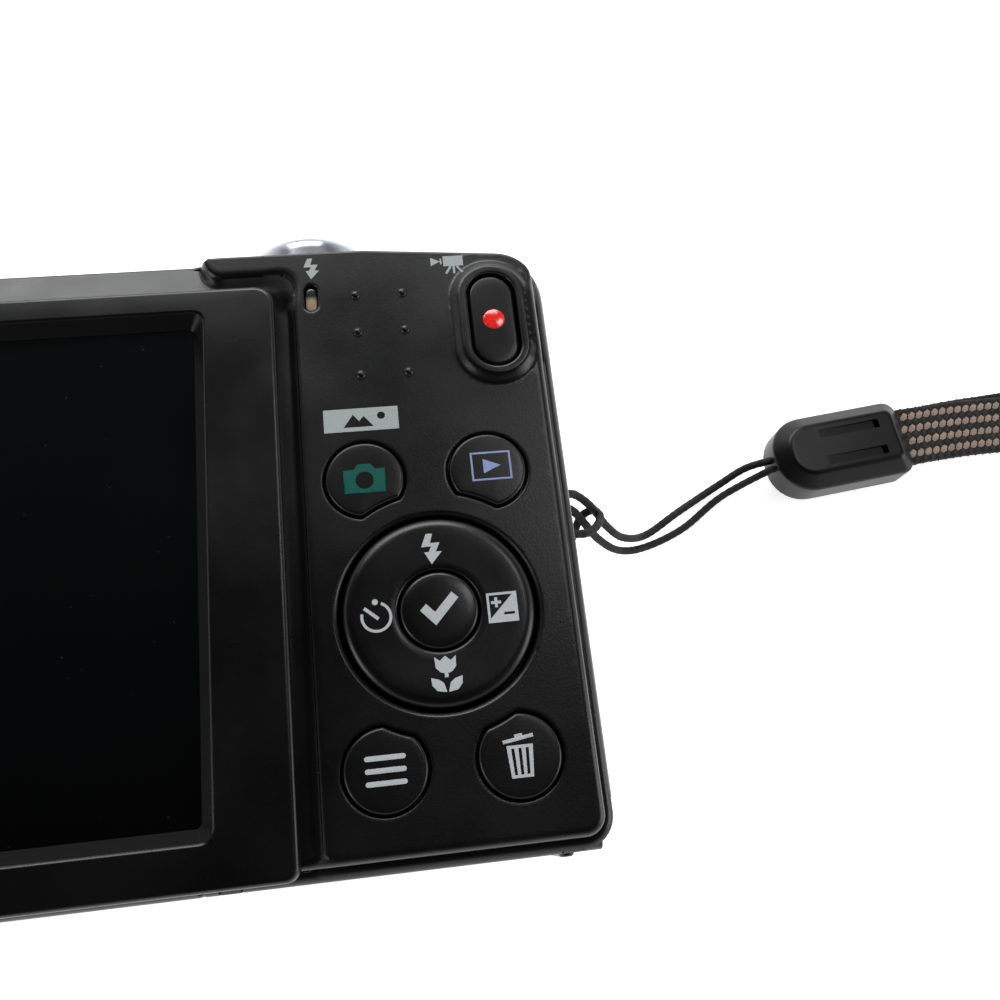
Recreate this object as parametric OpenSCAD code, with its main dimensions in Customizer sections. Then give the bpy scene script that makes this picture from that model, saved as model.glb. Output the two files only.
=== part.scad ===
// Compact digital camera with a collapsing zoom lens, a 2.7-inch screen and two AA-size cells.
// It lies on its front: +X is to the right and +Y is towards the top cover, seen from the back,
// and +Z points out of the screen. The origin is below the middle of the body. Millimetres.

/* [Body] */
// Width of the body
body_w = 96; // [95.6:0.2:97]
// Height of the body from its base to its top cover
body_h = 60; // [60:0.1:60.6]
// Thickness of the outer walls
wall = 1.6; // [1.5:0.1:1.7]
// Level of the flat front face above the face of the lens ring
face_z = 3.0; // [2.8:0.1:3.0]
// Level at which the front and rear covers meet
split_z = 15; // [14.6:0.2:15.4]
// Level of the control panel
panel_z = 28.0; // [28.0:0.1:28.2]
// Width of the bevel round the front face
front_bevel = 1.8; // [1:0.2:2]
// Width of the bevel round the control panel
rear_bevel = 1.2; // [0.8:0.2:1.4]

/* [Screen] */
// Width of the visible window
window_w = 57.2; // [55:0.2:57.2]
// Height of the visible window
window_h = 46.2; // [44:0.2:46.2]
// Width of the sloped rim between the window and the face of the bezel
window_slope = 1.0; // [0.6:0.1:1.0]
// Height of the bezel's face above its seat
bezel_h = 1.4; // [1.2:0.1:1.4]

/* [Lens] */
// Radius of the outermost barrel
barrel_r = 18.0; // [17.6:0.1:18.1]
// Wall of each barrel
barrel_wall = 1.2; // [1:0.1:1.2]
// Gap between one barrel and the next
barrel_gap = 0.4; // [0.3:0.05:0.4]
// Length of each barrel
barrel_len = 11.3; // [10.5:0.1:11.3]
// Radius of the front aperture
aperture_r = 5.0; // [4:0.2:5]

/* [Controls] */
// Radius of the four round buttons
button_r = 3.6; // [3.3:0.1:3.7]
// Clear gap round a round button
button_gap = 0.3; // [0.2:0.05:0.35]
// Radius of the multi selector
selector_r = 8.65; // [8.2:0.05:8.7]
// Radius of the centre button
ok_r = 3.55; // [3.3:0.05:3.6]
// Radius of the shutter button
shutter_r = 4.3; // [4:0.1:4.3]
// Radius of the zoom ring
zoom_r = 6.5; // [6.2:0.1:6.6]

/* [Power] */
// Radius of an AA cell
cell_r = 7.1; // [6.9:0.05:7.1]
// Length of an AA cell
cell_len = 50.5; // [49.5:0.1:50.5]

/* [Strap] */
// Diameter of the strap cord
cord_d = 0.95; // [0.9:0.05:1.1]
// Width of the webbing
web_w = 7.5; // [7:0.1:7.8]
// Thickness of the webbing
web_t = 1.1; // [0.9:0.05:1.1]

/* [Hidden] */
$fn = 64;
// Overshoot of a cut past the face that it opens
cut = 1;
// Outline of the body
x_right = body_w / 2;
x_left = -x_right;
y_bot = -32.4;
y_top = y_bot + body_h;
base_r = 3;
top_r = 5;
shoulder = [x_right - top_r, y_top - 6.1];
fall_x = 30;
fall_angle = 4.8;
corners = [[x_left + base_r, y_bot + base_r, base_r], [x_right - base_r, y_bot + base_r, base_r],
    [shoulder.x, shoulder.y, top_r], [x_left + top_r, y_top - top_r, top_r]];
// Screen side: the seat of the bezel, and the control panel beside it
seat_z = 27.4;
screen = [-15.45, -3.875];
bezel_x = [-46.8, 21.1];
bezel_y = [-32.0, 23.0];
panel_x = 22.9;
tongue_x = 14.5;
plate_t = 1.4;
// Height of the key board's face and of the dome switches on it
key_z = 24.7;
dome_h = 0.25;
// Control panel: the centre of the multi selector, and the other controls measured from it
pad = [34.3, -10.7];
mode_at = pad + [-5.75, 12.95];
playback_at = pad + [5.75, 12.95];
menu_at = pad + [-5.75, -13.3];
delete_at = pad + [5.75, -13.3];
movie_at = pad + [8.05, 28.6];
ready_at = pad + [-9.7, 32.4];
selector_hole_r = selector_r + 0.35;
scallop_r = 11.1;
key_top = panel_z + 0.3;
key_flange = [26.1, 26.5];
key_foot = 25.5;
// Lens
lens = [-14, -2.4];
lens_z = 1.2;
housing_r = barrel_r + barrel_gap;
middle_r = barrel_r - barrel_wall - barrel_gap;
inner_r = middle_r - barrel_wall - barrel_gap;
blade_pivot = 10.5;
blade_r = aperture_r + 0.4;
// Top controls: the zoom ring and shutter share one axis
shutter_at = [24.1, 16.7];
power_at = [8, 16.7];
top_plate_x = [-42, 43.5];
top_plate_z = [8, 23.5];
// Power compartment and its door
cells_x = [20.9, 35.7];
cell_z = 16.3;
cell_y0 = -28.7;
box_x = [13.0, 43.4];
box_y = [-28.4, 23.6];
door_x = 12.6;
door_z = [4.8, 24.6];
door_y = y_bot + 4.0;
hinge = [y_bot + 1.0, 24.6];
lugs_x = [15, 44];
lug_t = 1.6;
// Memory card
card_x = [16.2, 40.2];
card_z = [5.65, 7.75];
// Connector cover
cover_y = [-11.2, 4.8];
cover_z = [11, 23];
// Strap eyelet
post = [46.9, 0.6];
post_r = 1.0;
eyelet_y = [-3.2, 4.4];
eyelet_z = [12.4, 18.6];
// Minor radius of the 1/4-20 thread in the tripod socket
thread_r = 2.6;
// Case screws: two in the base and two in the left side
base_screws = [[-42, 11], [9, 20]];
side_screws = [[18, 11], [-24, 20]];
// Route of the strap cord: out of the cap, round the eyelet post, back over itself in a
// hitch, round the post again and into the cap
cord_route = [
    [78.9, 9.8, 3.0], [75.4, 9.4, 1.8], [72.0, 7.9, 0.7], [66.2, 4.8, 0.7], [61.3, 1.9, 1.6],
    [57.6, 0.8, 5.2], [54.9, 1.2, 9.2], [52.7, 2.5, 12.8], [50.4, 3.3, 15.4], [48.6, 2.8, 16.3],
    [46.9, 2.3, 16.3], [45.7, 1.8, 16.3], [45.2, 0.6, 16.3], [45.7, -0.6, 16.3], [46.9, -1.1, 16.3],
    [48.8, -1.3, 16.4], [50.7, -1.3, 15.8], [52.1, -0.6, 14.5], [53.2, 0.6, 13.1], [53.6, 1.8, 12.1],
    [53.1, 2.7, 11.0], [52.0, 2.4, 10.0], [51.1, 1.0, 9.7], [50.2, -0.7, 11.0], [49.3, -1.7, 13.2],
    [48.2, -1.5, 14.7], [46.9, -1.1, 15.1], [45.7, -0.6, 15.1], [45.2, 0.6, 15.1], [45.7, 1.8, 15.1],
    [46.9, 2.3, 15.1], [48.6, 2.3, 15.0], [50.4, 1.9, 13.8], [52.0, 0.9, 11.6], [54.0, 0.0, 8.2],
    [57.0, -0.4, 4.2], [60.9, 0.4, 1.4], [66.2, 2.5, 0.7], [72.0, 6.3, 0.7], [78.8, 8.8, 3.0]];
// Route of the webbing loop, each point with the tilt of the band in degrees: it leaves the
// cap flat, turns on to its edge, and comes back flat under itself
web_route = [
    [95.0, 11.1, 3.7, 0], [104, 12.0, 3.0, 0], [113, 12.4, 2.2, 0], [122, 11.8, 2.4, -12],
    [131, 9.4, 3.0, -40], [140, 6.0, 4.0, -72], [150, 2.0, 4.2, -90], [162, -2.0, 4.2, -90],
    [174, -5.0, 4.2, -90], [186, -6.6, 4.2, -90], [197, -5.8, 4.2, -90], [206, -1.8, 4.2, -90],
    [212, 5.2, 4.2, -90], [213.8, 13.6, 4.2, -90], [211, 22.0, 4.2, -90], [204, 28.6, 4.2, -90],
    [195, 31.8, 4.2, -90], [184, 31.8, 4.2, -90], [172, 29.6, 4.2, -90], [160, 26.2, 4.2, -90],
    [149, 22.6, 4.2, -96], [139, 19.2, 3.9, -120], [130, 16.4, 2.8, -150], [121, 14.6, 1.4, -172],
    [112, 13.6, 0.9, -180], [104, 12.8, 1.3, -180], [95.0, 11.3, 2.3, -180]];
cap_at = [86.9, 10.2];
cap_angle = 6.5;
cap_size = [17.4, 9.6, 6];

// ---- Shared shapes ----

// Limits of a stretch of the given half length on each side of a centre
function span(centre, half) = [centre - half, centre + half];

// Box between two limits along each axis
module block(x, y, z) {
    translate([x[0], y[0], z[0]]) cube([x[1] - x[0], y[1] - y[0], z[1] - z[0]]);
}

// Round bar of radius r between two levels
module rod(at, r, z) {
    translate([at.x, at.y, z[0]]) cylinder(r = r, h = z[1] - z[0]);
}

// Round bar along X; at is its place in Y and Z
module rod_x(at, r, x) {
    translate([x[0], at[0], at[1]]) rotate([0, 90, 0]) cylinder(r = r, h = x[1] - x[0]);
}

// Round bar along Y; at is its place in X and Z
module rod_y(at, r, y) {
    translate([at[0], y[0], at[1]]) rotate([-90, 0, 0]) cylinder(r = r, h = y[1] - y[0]);
}

// Flat ring
module ring(at, outer, inner, z) {
    difference() {
        rod(at, outer, z);
        rod(at, inner, [z[0] - cut, z[1] + cut]);
    }
}

// Rectangle with corner radii r, from the lower left corner round to the upper left one
module round_rect(x, y, r) {
    polygon([[x[0] + r[0], y[0]], [x[1] - r[1], y[0]], [x[1], y[0] + r[1]], [x[1], y[1] - r[2]],
        [x[1] - r[2], y[1]], [x[0] + r[3], y[1]], [x[0], y[1] - r[3]], [x[0], y[0] + r[0]]]);
    translate([x[0] + r[0], y[0] + r[0]]) circle(r[0]);
    translate([x[1] - r[1], y[0] + r[1]]) circle(r[1]);
    translate([x[1] - r[2], y[1] - r[2]]) circle(r[2]);
    translate([x[0] + r[3], y[1] - r[3]]) circle(r[3]);
}

// Upright oblong with round ends
module pill(at, w, h) {
    translate(at) {
        square([w, h - w], center = true);
        for (side = [-1, 1]) translate([0, side * (h - w) / 2]) circle(w / 2);
    }
}

module prism(z) {
    translate([0, 0, z[0]]) linear_extrude(z[1] - z[0]) children();
}

// Outline of the body, moved inwards by inset
module outline(inset = 0) {
    polygon([[x_left + inset, y_bot + base_r], [x_left + base_r, y_bot + inset],
        [x_right - base_r, y_bot + inset], [x_right - inset, y_bot + base_r],
        [x_right - inset, shoulder.y],
        shoulder + (top_r - inset) * [sin(fall_angle), cos(fall_angle)],
        [fall_x, y_top - inset], [x_left + top_r, y_top - inset],
        [x_left + inset, y_top - top_r]]);
    for (c = corners) translate([c.x, c.y]) circle(c.z - inset);
}

// Space that the top cover, the battery door, the eyelet and the connector cover take up
module side_openings() {
    block(top_plate_x, [20, y_top + cut], top_plate_z);
    block([door_x - 0.2, x_right + cut], [y_bot - cut, door_y + 0.2], [4.4, 25.9]);
    block([43.5, x_right + cut], eyelet_y, eyelet_z);
    block([x_left - cut, -46.0], [cover_y[0] - 1, cover_y[1] + 0.2], [cover_z[0] - 0.2, cover_z[1] + 0.2]);
    rod([-47.2, cover_y[0]], 0.35, [10.2, 23.8]);
}

// Counterbored hole for a case screw, along +Y from the outer face at y = 0
module screw_hole() {
    rod_y([0, 0], 0.8, [-cut, 4]);
    rod_y([0, 0], 1.35, [-cut, 0.6]);
}

// ---- Case ----

module front_cover() color("#2c2e33") {
    difference() {
        union() {
            difference() {
                hull() {
                    prism([face_z, face_z + 0.1]) outline(front_bevel);
                    prism([face_z + front_bevel, split_z]) outline();
                }
                prism([face_z + wall, split_z + cut]) outline(wall);
            }
            prism([0, face_z + 0.2]) round_rect([27, 46], [-30, 23], [4, 2.5, 4, 8]);
            rod_y([base_screws[0][0], base_screws[0][1]], 2, [y_bot + wall / 2, -28]);
            rod_x([side_screws[0][0], side_screws[0][1]], 2, [x_left + wall / 2, -43.6]);
        }
        side_openings();
        rod(lens, housing_r + 1.8, [face_z - cut, face_z + wall + cut]);
        block([1.5, 11.5], [18.8, 24.2], [face_z - cut, face_z + wall + cut]);
        rod([19.5, 19.5], 1.6, [face_z - cut, face_z + wall + cut]);
        for (step = [-1:1]) rod([-38 + step, 20], 0.3, [face_z - cut, face_z + wall + cut]);
        rod_y([-3.5, 9.8], 4.4, [y_bot - cut, -26]);
        translate([base_screws[0][0], y_bot, base_screws[0][1]]) screw_hole();
        translate([x_left, side_screws[0][0], side_screws[0][1]]) rotate([0, 0, -90]) screw_hole();
    }
}

module key_hole(at) {
    difference() {
        translate(at) circle(button_r + button_gap);
        translate(pad) circle(scallop_r);
    }
}

module rear_cover() color("#24262b") {
    difference() {
        union() {
            difference() {
                hull() {
                    prism([split_z, panel_z - rear_bevel]) outline();
                    prism([panel_z - 0.1, panel_z]) outline(rear_bevel);
                }
                prism([split_z - cut, seat_z - plate_t]) outline(wall);
                intersection() {
                    prism([split_z, panel_z - plate_t]) outline(wall);
                    block([panel_x, x_right], [y_bot, 25.5], [split_z, panel_z]);
                }
            }
            prism([panel_z - 0.5, panel_z + 0.7]) pill(movie_at, 6.7, 12.4);
            rod_y([base_screws[1][0], base_screws[1][1]], 2, [y_bot + wall / 2, -28]);
            rod_x([side_screws[1][0], side_screws[1][1]], 2, [x_left + wall / 2, -43.6]);
        }
        side_openings();
        block([x_left - cut, panel_x], [y_bot - cut, bezel_y[1]], [seat_z, panel_z + cut]);
        block([x_left - cut, tongue_x], [bezel_y[1] - 0.1, y_top + cut], [27.0, panel_z + cut]);
        translate([x_left - cut, bezel_y[1], 27.0]) rotate([-18, 0, 0]) cube([tongue_x - x_left + cut, 8, 4]);
        block(span(screen.x, 29.8), span(screen.y, 24.3), [seat_z - 2, seat_z + cut]);
        prism([split_z, panel_z + cut]) {
            for (at = [mode_at, playback_at, menu_at, delete_at]) key_hole(at);
            translate(pad) circle(selector_hole_r);
            pill(movie_at, 5.1, 10.5);
            pill(ready_at, 1.3, 2.9);
        }
        translate([base_screws[1][0], y_bot, base_screws[1][1]]) screw_hole();
        translate([x_left, side_screws[1][0], side_screws[1][1]]) rotate([0, 0, -90]) screw_hole();
    }
}

module top_cover() color("#7d7468") difference() {
    intersection() {
        difference() {
            prism(top_plate_z) outline();
            prism([0, 30]) outline(wall);
        }
        block(top_plate_x, [20, y_top + cut], top_plate_z);
    }
    rod_y(shutter_at, 5.5, [20, y_top + cut]);
    rod_y(power_at, 3.15, [20, y_top + cut]);
    for (row = [-1:1], column = [-2:2])
        rod_y([-31 + 1.4 * column, 15.5 + 1.4 * row], 0.35, [20, y_top + cut]);
}

module screen_bezel() color("#15161a") difference() {
    prism([seat_z, seat_z + bezel_h]) round_rect(bezel_x, bezel_y, [3.5, 1.2, 2, 3.5]);
    hull() {
        prism([seat_z - cut, seat_z]) translate(screen) square([window_w, window_h], center = true);
        prism([seat_z + bezel_h, seat_z + bezel_h + 0.1]) translate(screen)
            square([window_w, window_h] + 2 * [window_slope, window_slope], center = true);
    }
}

module screen_window() color("#3a3f48") {
    block(span(screen.x, 29.6), span(screen.y, 24.1), [seat_z - 1.1, seat_z]);
}

module lcd_panel() color("#8d9399") {
    block(span(screen.x, 28.75), span(screen.y, 21.9), [24.2, seat_z - 1.2]);
}

module case_screws() color("#b9bcc0") {
    for (at = base_screws) {
        rod_y(at, 1.35, [y_bot, y_bot + 0.6]);
        rod_y(at, 0.8, [y_bot + 0.6, y_bot + 3.6]);
    }
    for (at = side_screws) {
        rod_x(at, 1.35, [x_left, x_left + 0.6]);
        rod_x(at, 0.8, [x_left + 0.6, x_left + 3.6]);
    }
}

// ---- Inside ----

module chassis() color("#a9adb2") {
    difference() {
        block([-43.2, 12.5], [-27.5, 22], [21.5, 22.2]);
        block([-40, -36.5], [-24, 18], [21, 23]);
    }
    for (x = [-41, 10], y = [-25, 19]) rod([x, y], 1.2, [22.2, 22.6]);
}

module main_board() color("#2f7a4d") {
    block([-43.2, 12.5], [-27.5, 22], [22.6, 23.6]);
    block([-30, -18], [-10, 2], [23.6, 24.1]);
    block([-8, 2], [4, 12], [23.6, 24.1]);
}

module key_board() color("#2f7a4d") {
    block([23.2, 45.4], [-28.6, 24.5], [key_z - 0.6, key_z]);
    for (at = [mode_at, playback_at, menu_at, delete_at, movie_at, pad]) rod(at, 1.8, [key_z, key_z + dome_h]);
    for (turn = [0:3]) rod(pad + 7 * [cos(90 * turn), sin(90 * turn)], 0.9, [key_z, key_z + dome_h]);
}

module image_sensor() color("#4a5a6e") {
    block(span(lens.x, 8), span(lens.y, 7), [20.5, 21.5]);
}

module rear_lens_group() color("#202226") {
    ring(lens, 9, 5.5, [13.0, 19.5]);
    rod(lens, 5.5, [15.0, 17.5]);
}

module zoom_motor() color("#b0b3b8") {
    rod([6.5, -22], 4, [6, 20]);
    rod([6.5, -22], 1, [20, 21.3]);
}

module flash_reflector() color("#d9dcde") difference() {
    block([0.5, 12.5], [18.0, 25.0], [face_z + wall, 9.5]);
    block([1.5, 11.5], [18.8, 24.2], [face_z + wall - cut, 8.6]);
}

module flash_tube() color("#e8ecee") rod_x([21.5, 7.0], 1.1, [1.5, 11.5]);

module flash_capacitor() color("#1d1f22") rod_x([21.8, 9.0], 3.5, [-24, -4]);

module microphone() color("#8a8d90") rod([-38, 20], 2, [face_z + wall, 6.4]);

module speaker() color("#3c3f44") rod_y([-31, 15.5], 5, [y_top - wall - 2.6, y_top - wall]);

module usb_connector() color("#b9bcc0") difference() {
    block([-46.2, -38.5], [-8, 0], [17.2, 21.2]);
    block([-46.2 - cut, -39.5], [-7.3, -0.7], [17.8, 20.6]);
}

module battery_box() color("#393c42") difference() {
    block(box_x, box_y, [8.4, 24.0]);
    for (x = cells_x) rod_y([x, cell_z], cell_r + 0.1, [box_y[0] - cut, 22.6]);
}

module battery_contacts() color("#cfa85a") {
    for (x = cells_x) rod_y([x, cell_z], 5, [22.1, 22.6]);
}

module cell(x, flip) color("#c8a24a") {
    y0 = cell_y0;
    y1 = cell_y0 + cell_len;
    rod_y([x, cell_z], cell_r, flip ? [y0 + 1, y1] : [y0, y1 - 1]);
    rod_y([x, cell_z], 2.6, flip ? [y0, y0 + 1] : [y1 - 1, y1]);
}

module battery_left() cell(cells_x[0], false);

module battery_right() cell(cells_x[1], true);

module card_slot() color("#b9bcc0") difference() {
    block([15, 41.4], [-27, 8], [5.2, 8.2]);
    block([card_x[0] - 0.2, card_x[1] + 0.2], [-27 - cut, 7.2], [card_z[0] - 0.15, card_z[1] + 0.15]);
}

module memory_card() color("#1d2f6b") difference() {
    block(card_x, [-26, 6], card_z);
    translate([card_x[1], 6, card_z[0] - cut]) rotate([0, 0, 45]) cube([5, 5, 5], center = true);
}

// ---- Front ----

module lens_ring() color("#8e9297") {
    ring(lens, 23.5, housing_r + 0.4, [0, face_z]);
    ring(lens, housing_r + 1.8, housing_r + 0.4, [face_z, face_z + wall]);
}

module lens_housing() color("#2a2c30") {
    ring(lens, housing_r + 1.8, housing_r, [face_z + wall, 20.5]);
    ring(lens, housing_r + 0.2, 5, [19.5, 20.5]);
}

// One telescoping barrel, drawn where it rests
module barrel(r) ring(lens, r, r - barrel_wall, [lens_z, lens_z + barrel_len]);

module lens_barrel_outer() color("#74787d") barrel(barrel_r);

module lens_barrel_middle() color("#74787d") barrel(middle_r);

module lens_barrel_inner() color("#85898e") {
    barrel(inner_r);
    ring(lens, inner_r - barrel_wall / 2, aperture_r, [lens_z, lens_z + 1]);
    ring(lens, inner_r - barrel_wall / 2, 6.5, [lens_z + 2, lens_z + 3]);
    for (side = [-1, 1]) rod(lens + [side * blade_pivot, 0], 0.5, [lens_z + 0.5, lens_z + 2.5]);
}

module front_lens() color("#5f6f8a") intersection() {
    rod(lens, 6.5, [lens_z + 2, lens_z + 4.4]);
    translate([lens.x, lens.y, lens_z + 14]) sphere(12);
}

// Blade over the upper half of the aperture, on a pivot at its left
module barrier_blade() difference() {
    union() {
        intersection() {
            rod([0, 0], blade_r, [lens_z + 1.3, lens_z + 1.7]);
            block([-20, 20], [0.1, 20], [lens_z, lens_z + 3]);
        }
        block([-blade_pivot, -3], [0.1, 1.6], [lens_z + 1.3, lens_z + 1.7]);
        rod([-blade_pivot, 0], 1.5, [lens_z + 1.3, lens_z + 1.7]);
    }
    rod([-blade_pivot, 0], 0.6, [lens_z, lens_z + 3]);
}

module barrier_blade_upper() color("#3d4045") translate([lens.x, lens.y, 0]) barrier_blade();

module barrier_blade_lower() color("#3d4045") translate([lens.x, lens.y, 0]) rotate([0, 0, 180]) barrier_blade();

module flash_window() color("#dfe4e6") {
    block([1.5, 11.5], [18.8, 24.2], [face_z + 0.1, face_z + wall]);
}

module timer_lamp() color("#d98a3a") {
    rod([19.5, 19.5], 1.6, [face_z, face_z + wall]);
    rod([19.5, 19.5], 2.2, [face_z + wall, face_z + wall + 1]);
}

module tripod_socket() color("#b9bcc0") difference() {
    rod_y([-3.5, 9.8], 4.4, [y_bot, -26.4]);
    rod_y([-3.5, 9.8], thread_r, [y_bot - cut, -27.4]);
}

// ---- Top and control panel ----

module zoom_ring() color("#c9ccd0") difference() {
    union() {
        rod_y(shutter_at, zoom_r, [y_top + 0.3, y_top + 4.6]);
        rod_y(shutter_at, 5.4, [y_top - wall + 0.2, y_top + 0.3]);
        block(span(shutter_at[0], 2.2), [y_top + 0.4, y_top + 3.0], [7, shutter_at[1] - 5]);
    }
    rod_y(shutter_at, shutter_r + 0.3, [y_top - wall - cut, y_top + 5]);
}

module shutter_button() color("#b4b7bb") {
    rod_y(shutter_at, shutter_r, [y_top + 1, y_top + 5.2]);
    rod_y(shutter_at, 2.2, [y_top - 2.4, y_top + 1]);
}

module power_button() color("#3a3c40") {
    rod_y(power_at, 3, [y_top - 2.6, y_top + 0.5]);
    rod_y(power_at, 3.6, [y_top - 2.6, y_top - 2.0]);
}

// Round button whose inner side is cut round the multi selector
module scalloped_button(at) color("#2b2d32") {
    prism([key_foot, key_top]) difference() {
        translate(at) circle(button_r);
        translate(pad) circle(scallop_r + 0.15);
    }
    prism(key_flange) difference() {
        translate(at) circle(button_r + 0.7);
        translate(pad) circle(scallop_r - 0.5);
    }
}

module mode_button() scalloped_button(mode_at);

module playback_button() scalloped_button(playback_at);

module menu_button() scalloped_button(menu_at);

module delete_button() scalloped_button(delete_at);

module movie_button() color("#2b2d32") {
    prism([key_foot, panel_z + 0.4]) pill(movie_at, 4.5, 9.95);
    prism(key_flange) pill(movie_at, 5.9, 11.4);
}

module movie_button_dot() color("#c3202a") rod(movie_at, 1.0, [panel_z + 0.4, panel_z + 0.6]);

// Ring that lets the multi selector rock about both axes
module selector_pad() color("#55585e") {
    ring(pad, 5.5, 3.9, [25.4, 25.8]);
    for (side = [-1, 1]) {
        translate([pad.x + 4.7 * side, pad.y, 25.9]) cube([1.2, 0.6, 0.3], center = true);
        translate([pad.x, pad.y + 4.7 * side, 25.1]) cube([0.6, 1.2, 0.6], center = true);
    }
}

module multi_selector() color("#2b2d32") {
    ring(pad, selector_r, ok_r + 0.17, [26.1, panel_z + 0.4]);
    for (turn = [0:3]) rod(pad + 7 * [cos(90 * turn), sin(90 * turn)], 0.7, [25.35, 26.1]);
}

module ok_button() color("#2b2d32") {
    rod(pad, ok_r, [26.4, panel_z + 0.5]);
    rod(pad, 2, [key_foot, 26.4]);
}

module flash_ready_lamp() color("#d5d8da") {
    prism([key_z, panel_z - 0.1]) pill(ready_at, 1.06, 2.7);
}

// ---- Doors ----

module battery_door() color("#24262b") difference() {
    union() {
        intersection() {
            difference() {
                prism(door_z) outline();
                prism([0, 30]) outline(wall);
            }
            block([door_x, x_right + cut], [y_bot - cut, door_y], door_z);
        }
        rod_x(hinge, 1, [door_x + 0.2, 46.6]);
        block([43.2, 44.6], [y_bot - 0.4, y_bot + 0.2], [8, 22]);
    }
    for (x = lugs_x) block([x - lug_t / 2 - 0.2, x + lug_t / 2 + 0.2], [y_bot - cut, -30], [23.2, 26]);
    rod_x(hinge, 0.55, [lugs_x[0] - 2, lugs_x[1] + 2]);
}

module door_bracket() color("#a9adb2") {
    for (x = lugs_x) {
        rod_x(hinge, 1, [x - lug_t / 2, x + lug_t / 2]);
        block([x - lug_t / 2, x + lug_t / 2], [hinge[0], -30.0], [hinge[1], hinge[1] + 0.95]);
    }
    rod_x(hinge, 0.45, [lugs_x[0], lugs_x[1]]);
    block([lugs_x[0] - lug_t / 2, lugs_x[1] + lug_t / 2], [-30.1, -29.5], [23.7, hinge[1] + 0.95]);
}

module door_contact() color("#cfa85a") {
    block([cells_x[0] - 5, cells_x[1] + 5], [y_bot + wall, y_bot + wall + 0.3], [12, 20.6]);
    for (x = cells_x, turn = [0:2])
        translate([x, y_bot + wall + 0.3 + 0.45 * turn, cell_z]) rotate([-90, 0, 0]) difference() {
            cylinder(r = 3.2 - 0.35 * turn, h = 0.45);
            translate([0, 0, -cut]) cylinder(r = 2.3, h = 3);
        }
}

module connector_cover() color("#24262b") difference() {
    union() {
        block([x_left, x_left + wall], cover_y, cover_z);
        rod([-47.2, cover_y[0]], 0.8, [12.2, 21.8]);
    }
    rod([-47.2, cover_y[0]], 0.45, [10, 24]);
    for (z = [[10, 12], [22, 24]]) block([-49, -46], [cover_y[0] - 1, cover_y[0] + 1], z);
}

module connector_cover_pin() color("#b9bcc0") rod([-47.2, cover_y[0]], 0.35, [10.2, 23.8]);

// ---- Strap ----

module strap_eyelet() color("#8e9297") {
    difference() {
        block([43.5, x_right], eyelet_y, eyelet_z);
        block([44.4, x_right + cut], [eyelet_y[0] + 0.6, eyelet_y[1] - 0.6], [eyelet_z[0] + 0.6, eyelet_z[1] - 0.6]);
    }
    rod(post, post_r, eyelet_z + 0.3 * [1, -1]);
}

// Point at share t of the way from point i of a route to the next, on a smooth curve
function smooth(p, i, t) =
    let (a = p[max(i - 1, 0)], b = p[i], c = p[min(i + 1, len(p) - 1)], d = p[min(i + 2, len(p) - 1)])
    0.5 * (2 * b + (c - a) * t + (2 * a - 5 * b + 4 * c - d) * t * t + (3 * b - a - 3 * c + d) * t * t * t);
function smoothed(p, steps) = concat(
    [for (i = [0:len(p) - 2], k = [0:steps - 1]) smooth(p, i, k / steps)], [p[len(p) - 1]]);
function unit(v) = v / norm(v);
function place(p) = [p.x, p.y, p.z];
function heading(p, i) = unit(place(p[min(i + 1, len(p) - 1)]) - place(p[max(i - 1, 0)]));
// Side vectors carried along the curve without twist
function carry(v, t) = unit(v - (v * t) * t);
function sides(p, v, i = 0) = i == len(p) ? [] :
    let (w = carry(v, heading(p, i))) concat([w], sides(p, w, i + 1));

// Closed skin over rings of n points
module skin(points, rings, n) {
    polyhedron(points, concat(
        [[for (k = [0:n - 1]) k]],
        [for (i = [0:rings - 2], k = [0:n - 1]) [i * n + k, (i + 1) * n + k, (i + 1) * n + (k + 1) % n]],
        [for (i = [0:rings - 2], k = [0:n - 1]) [i * n + k, (i + 1) * n + (k + 1) % n, i * n + (k + 1) % n]],
        [[for (k = [n - 1:-1:0]) (rings - 1) * n + k]]), convexity = 10);
}

module strap_cord() color("#2b2c26") {
    path = smoothed(cord_route, 2);
    across = sides(path, [0, 0, 1]);
    r = cord_d / 2;
    skin([for (i = [0:len(path) - 1], k = [0:7])
        let (u = across[i], v = cross(heading(path, i), u))
        path[i] + r * (cos(45 * k) * u + sin(45 * k) * v)], len(path), 8);
}

module strap_webbing() color("#1c1c1e") {
    path = smoothed(web_route, 2);
    skin([for (i = [0:len(path) - 1], k = [0:7])
        let (t = heading(path, i), side = unit(cross([0, 0, 1], t)), up = cross(t, side),
            tilt = path[i][3], u = cos(tilt) * side + sin(tilt) * up, v = cross(t, u),
            a = 45 * k + 22.5)
        place(path[i]) + sign(cos(a)) * (web_w / 2 - (abs(sin(a)) > 0.5 ? 0.3 : 0)) * u
            + sign(sin(a)) * (web_t / 2 - (abs(sin(a)) > 0.5 ? 0 : 0.25)) * v], len(path), 8);
}

module strap_cap() color("#25282e") translate([cap_at.x, cap_at.y, 0]) rotate([0, 0, cap_angle]) {
    difference() {
        hull() {
            prism([0, cap_size.z - 1.4]) cap_outline(0);
            prism([cap_size.z - 0.1, cap_size.z]) cap_outline(1.2);
        }
        for (side = [-1, 1]) block([-2.9, 5.1], span(1.75 * side, 0.55), [cap_size.z - 0.3, cap_size.z + cut]);
    }
}

module cap_outline(inset) {
    half = cap_size / 2;
    round_rect([-half.x + inset, half.x - inset], [-half.y + inset, half.y - inset],
        [3.4, 1.4, 1.4, 3.4]);
}

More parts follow.
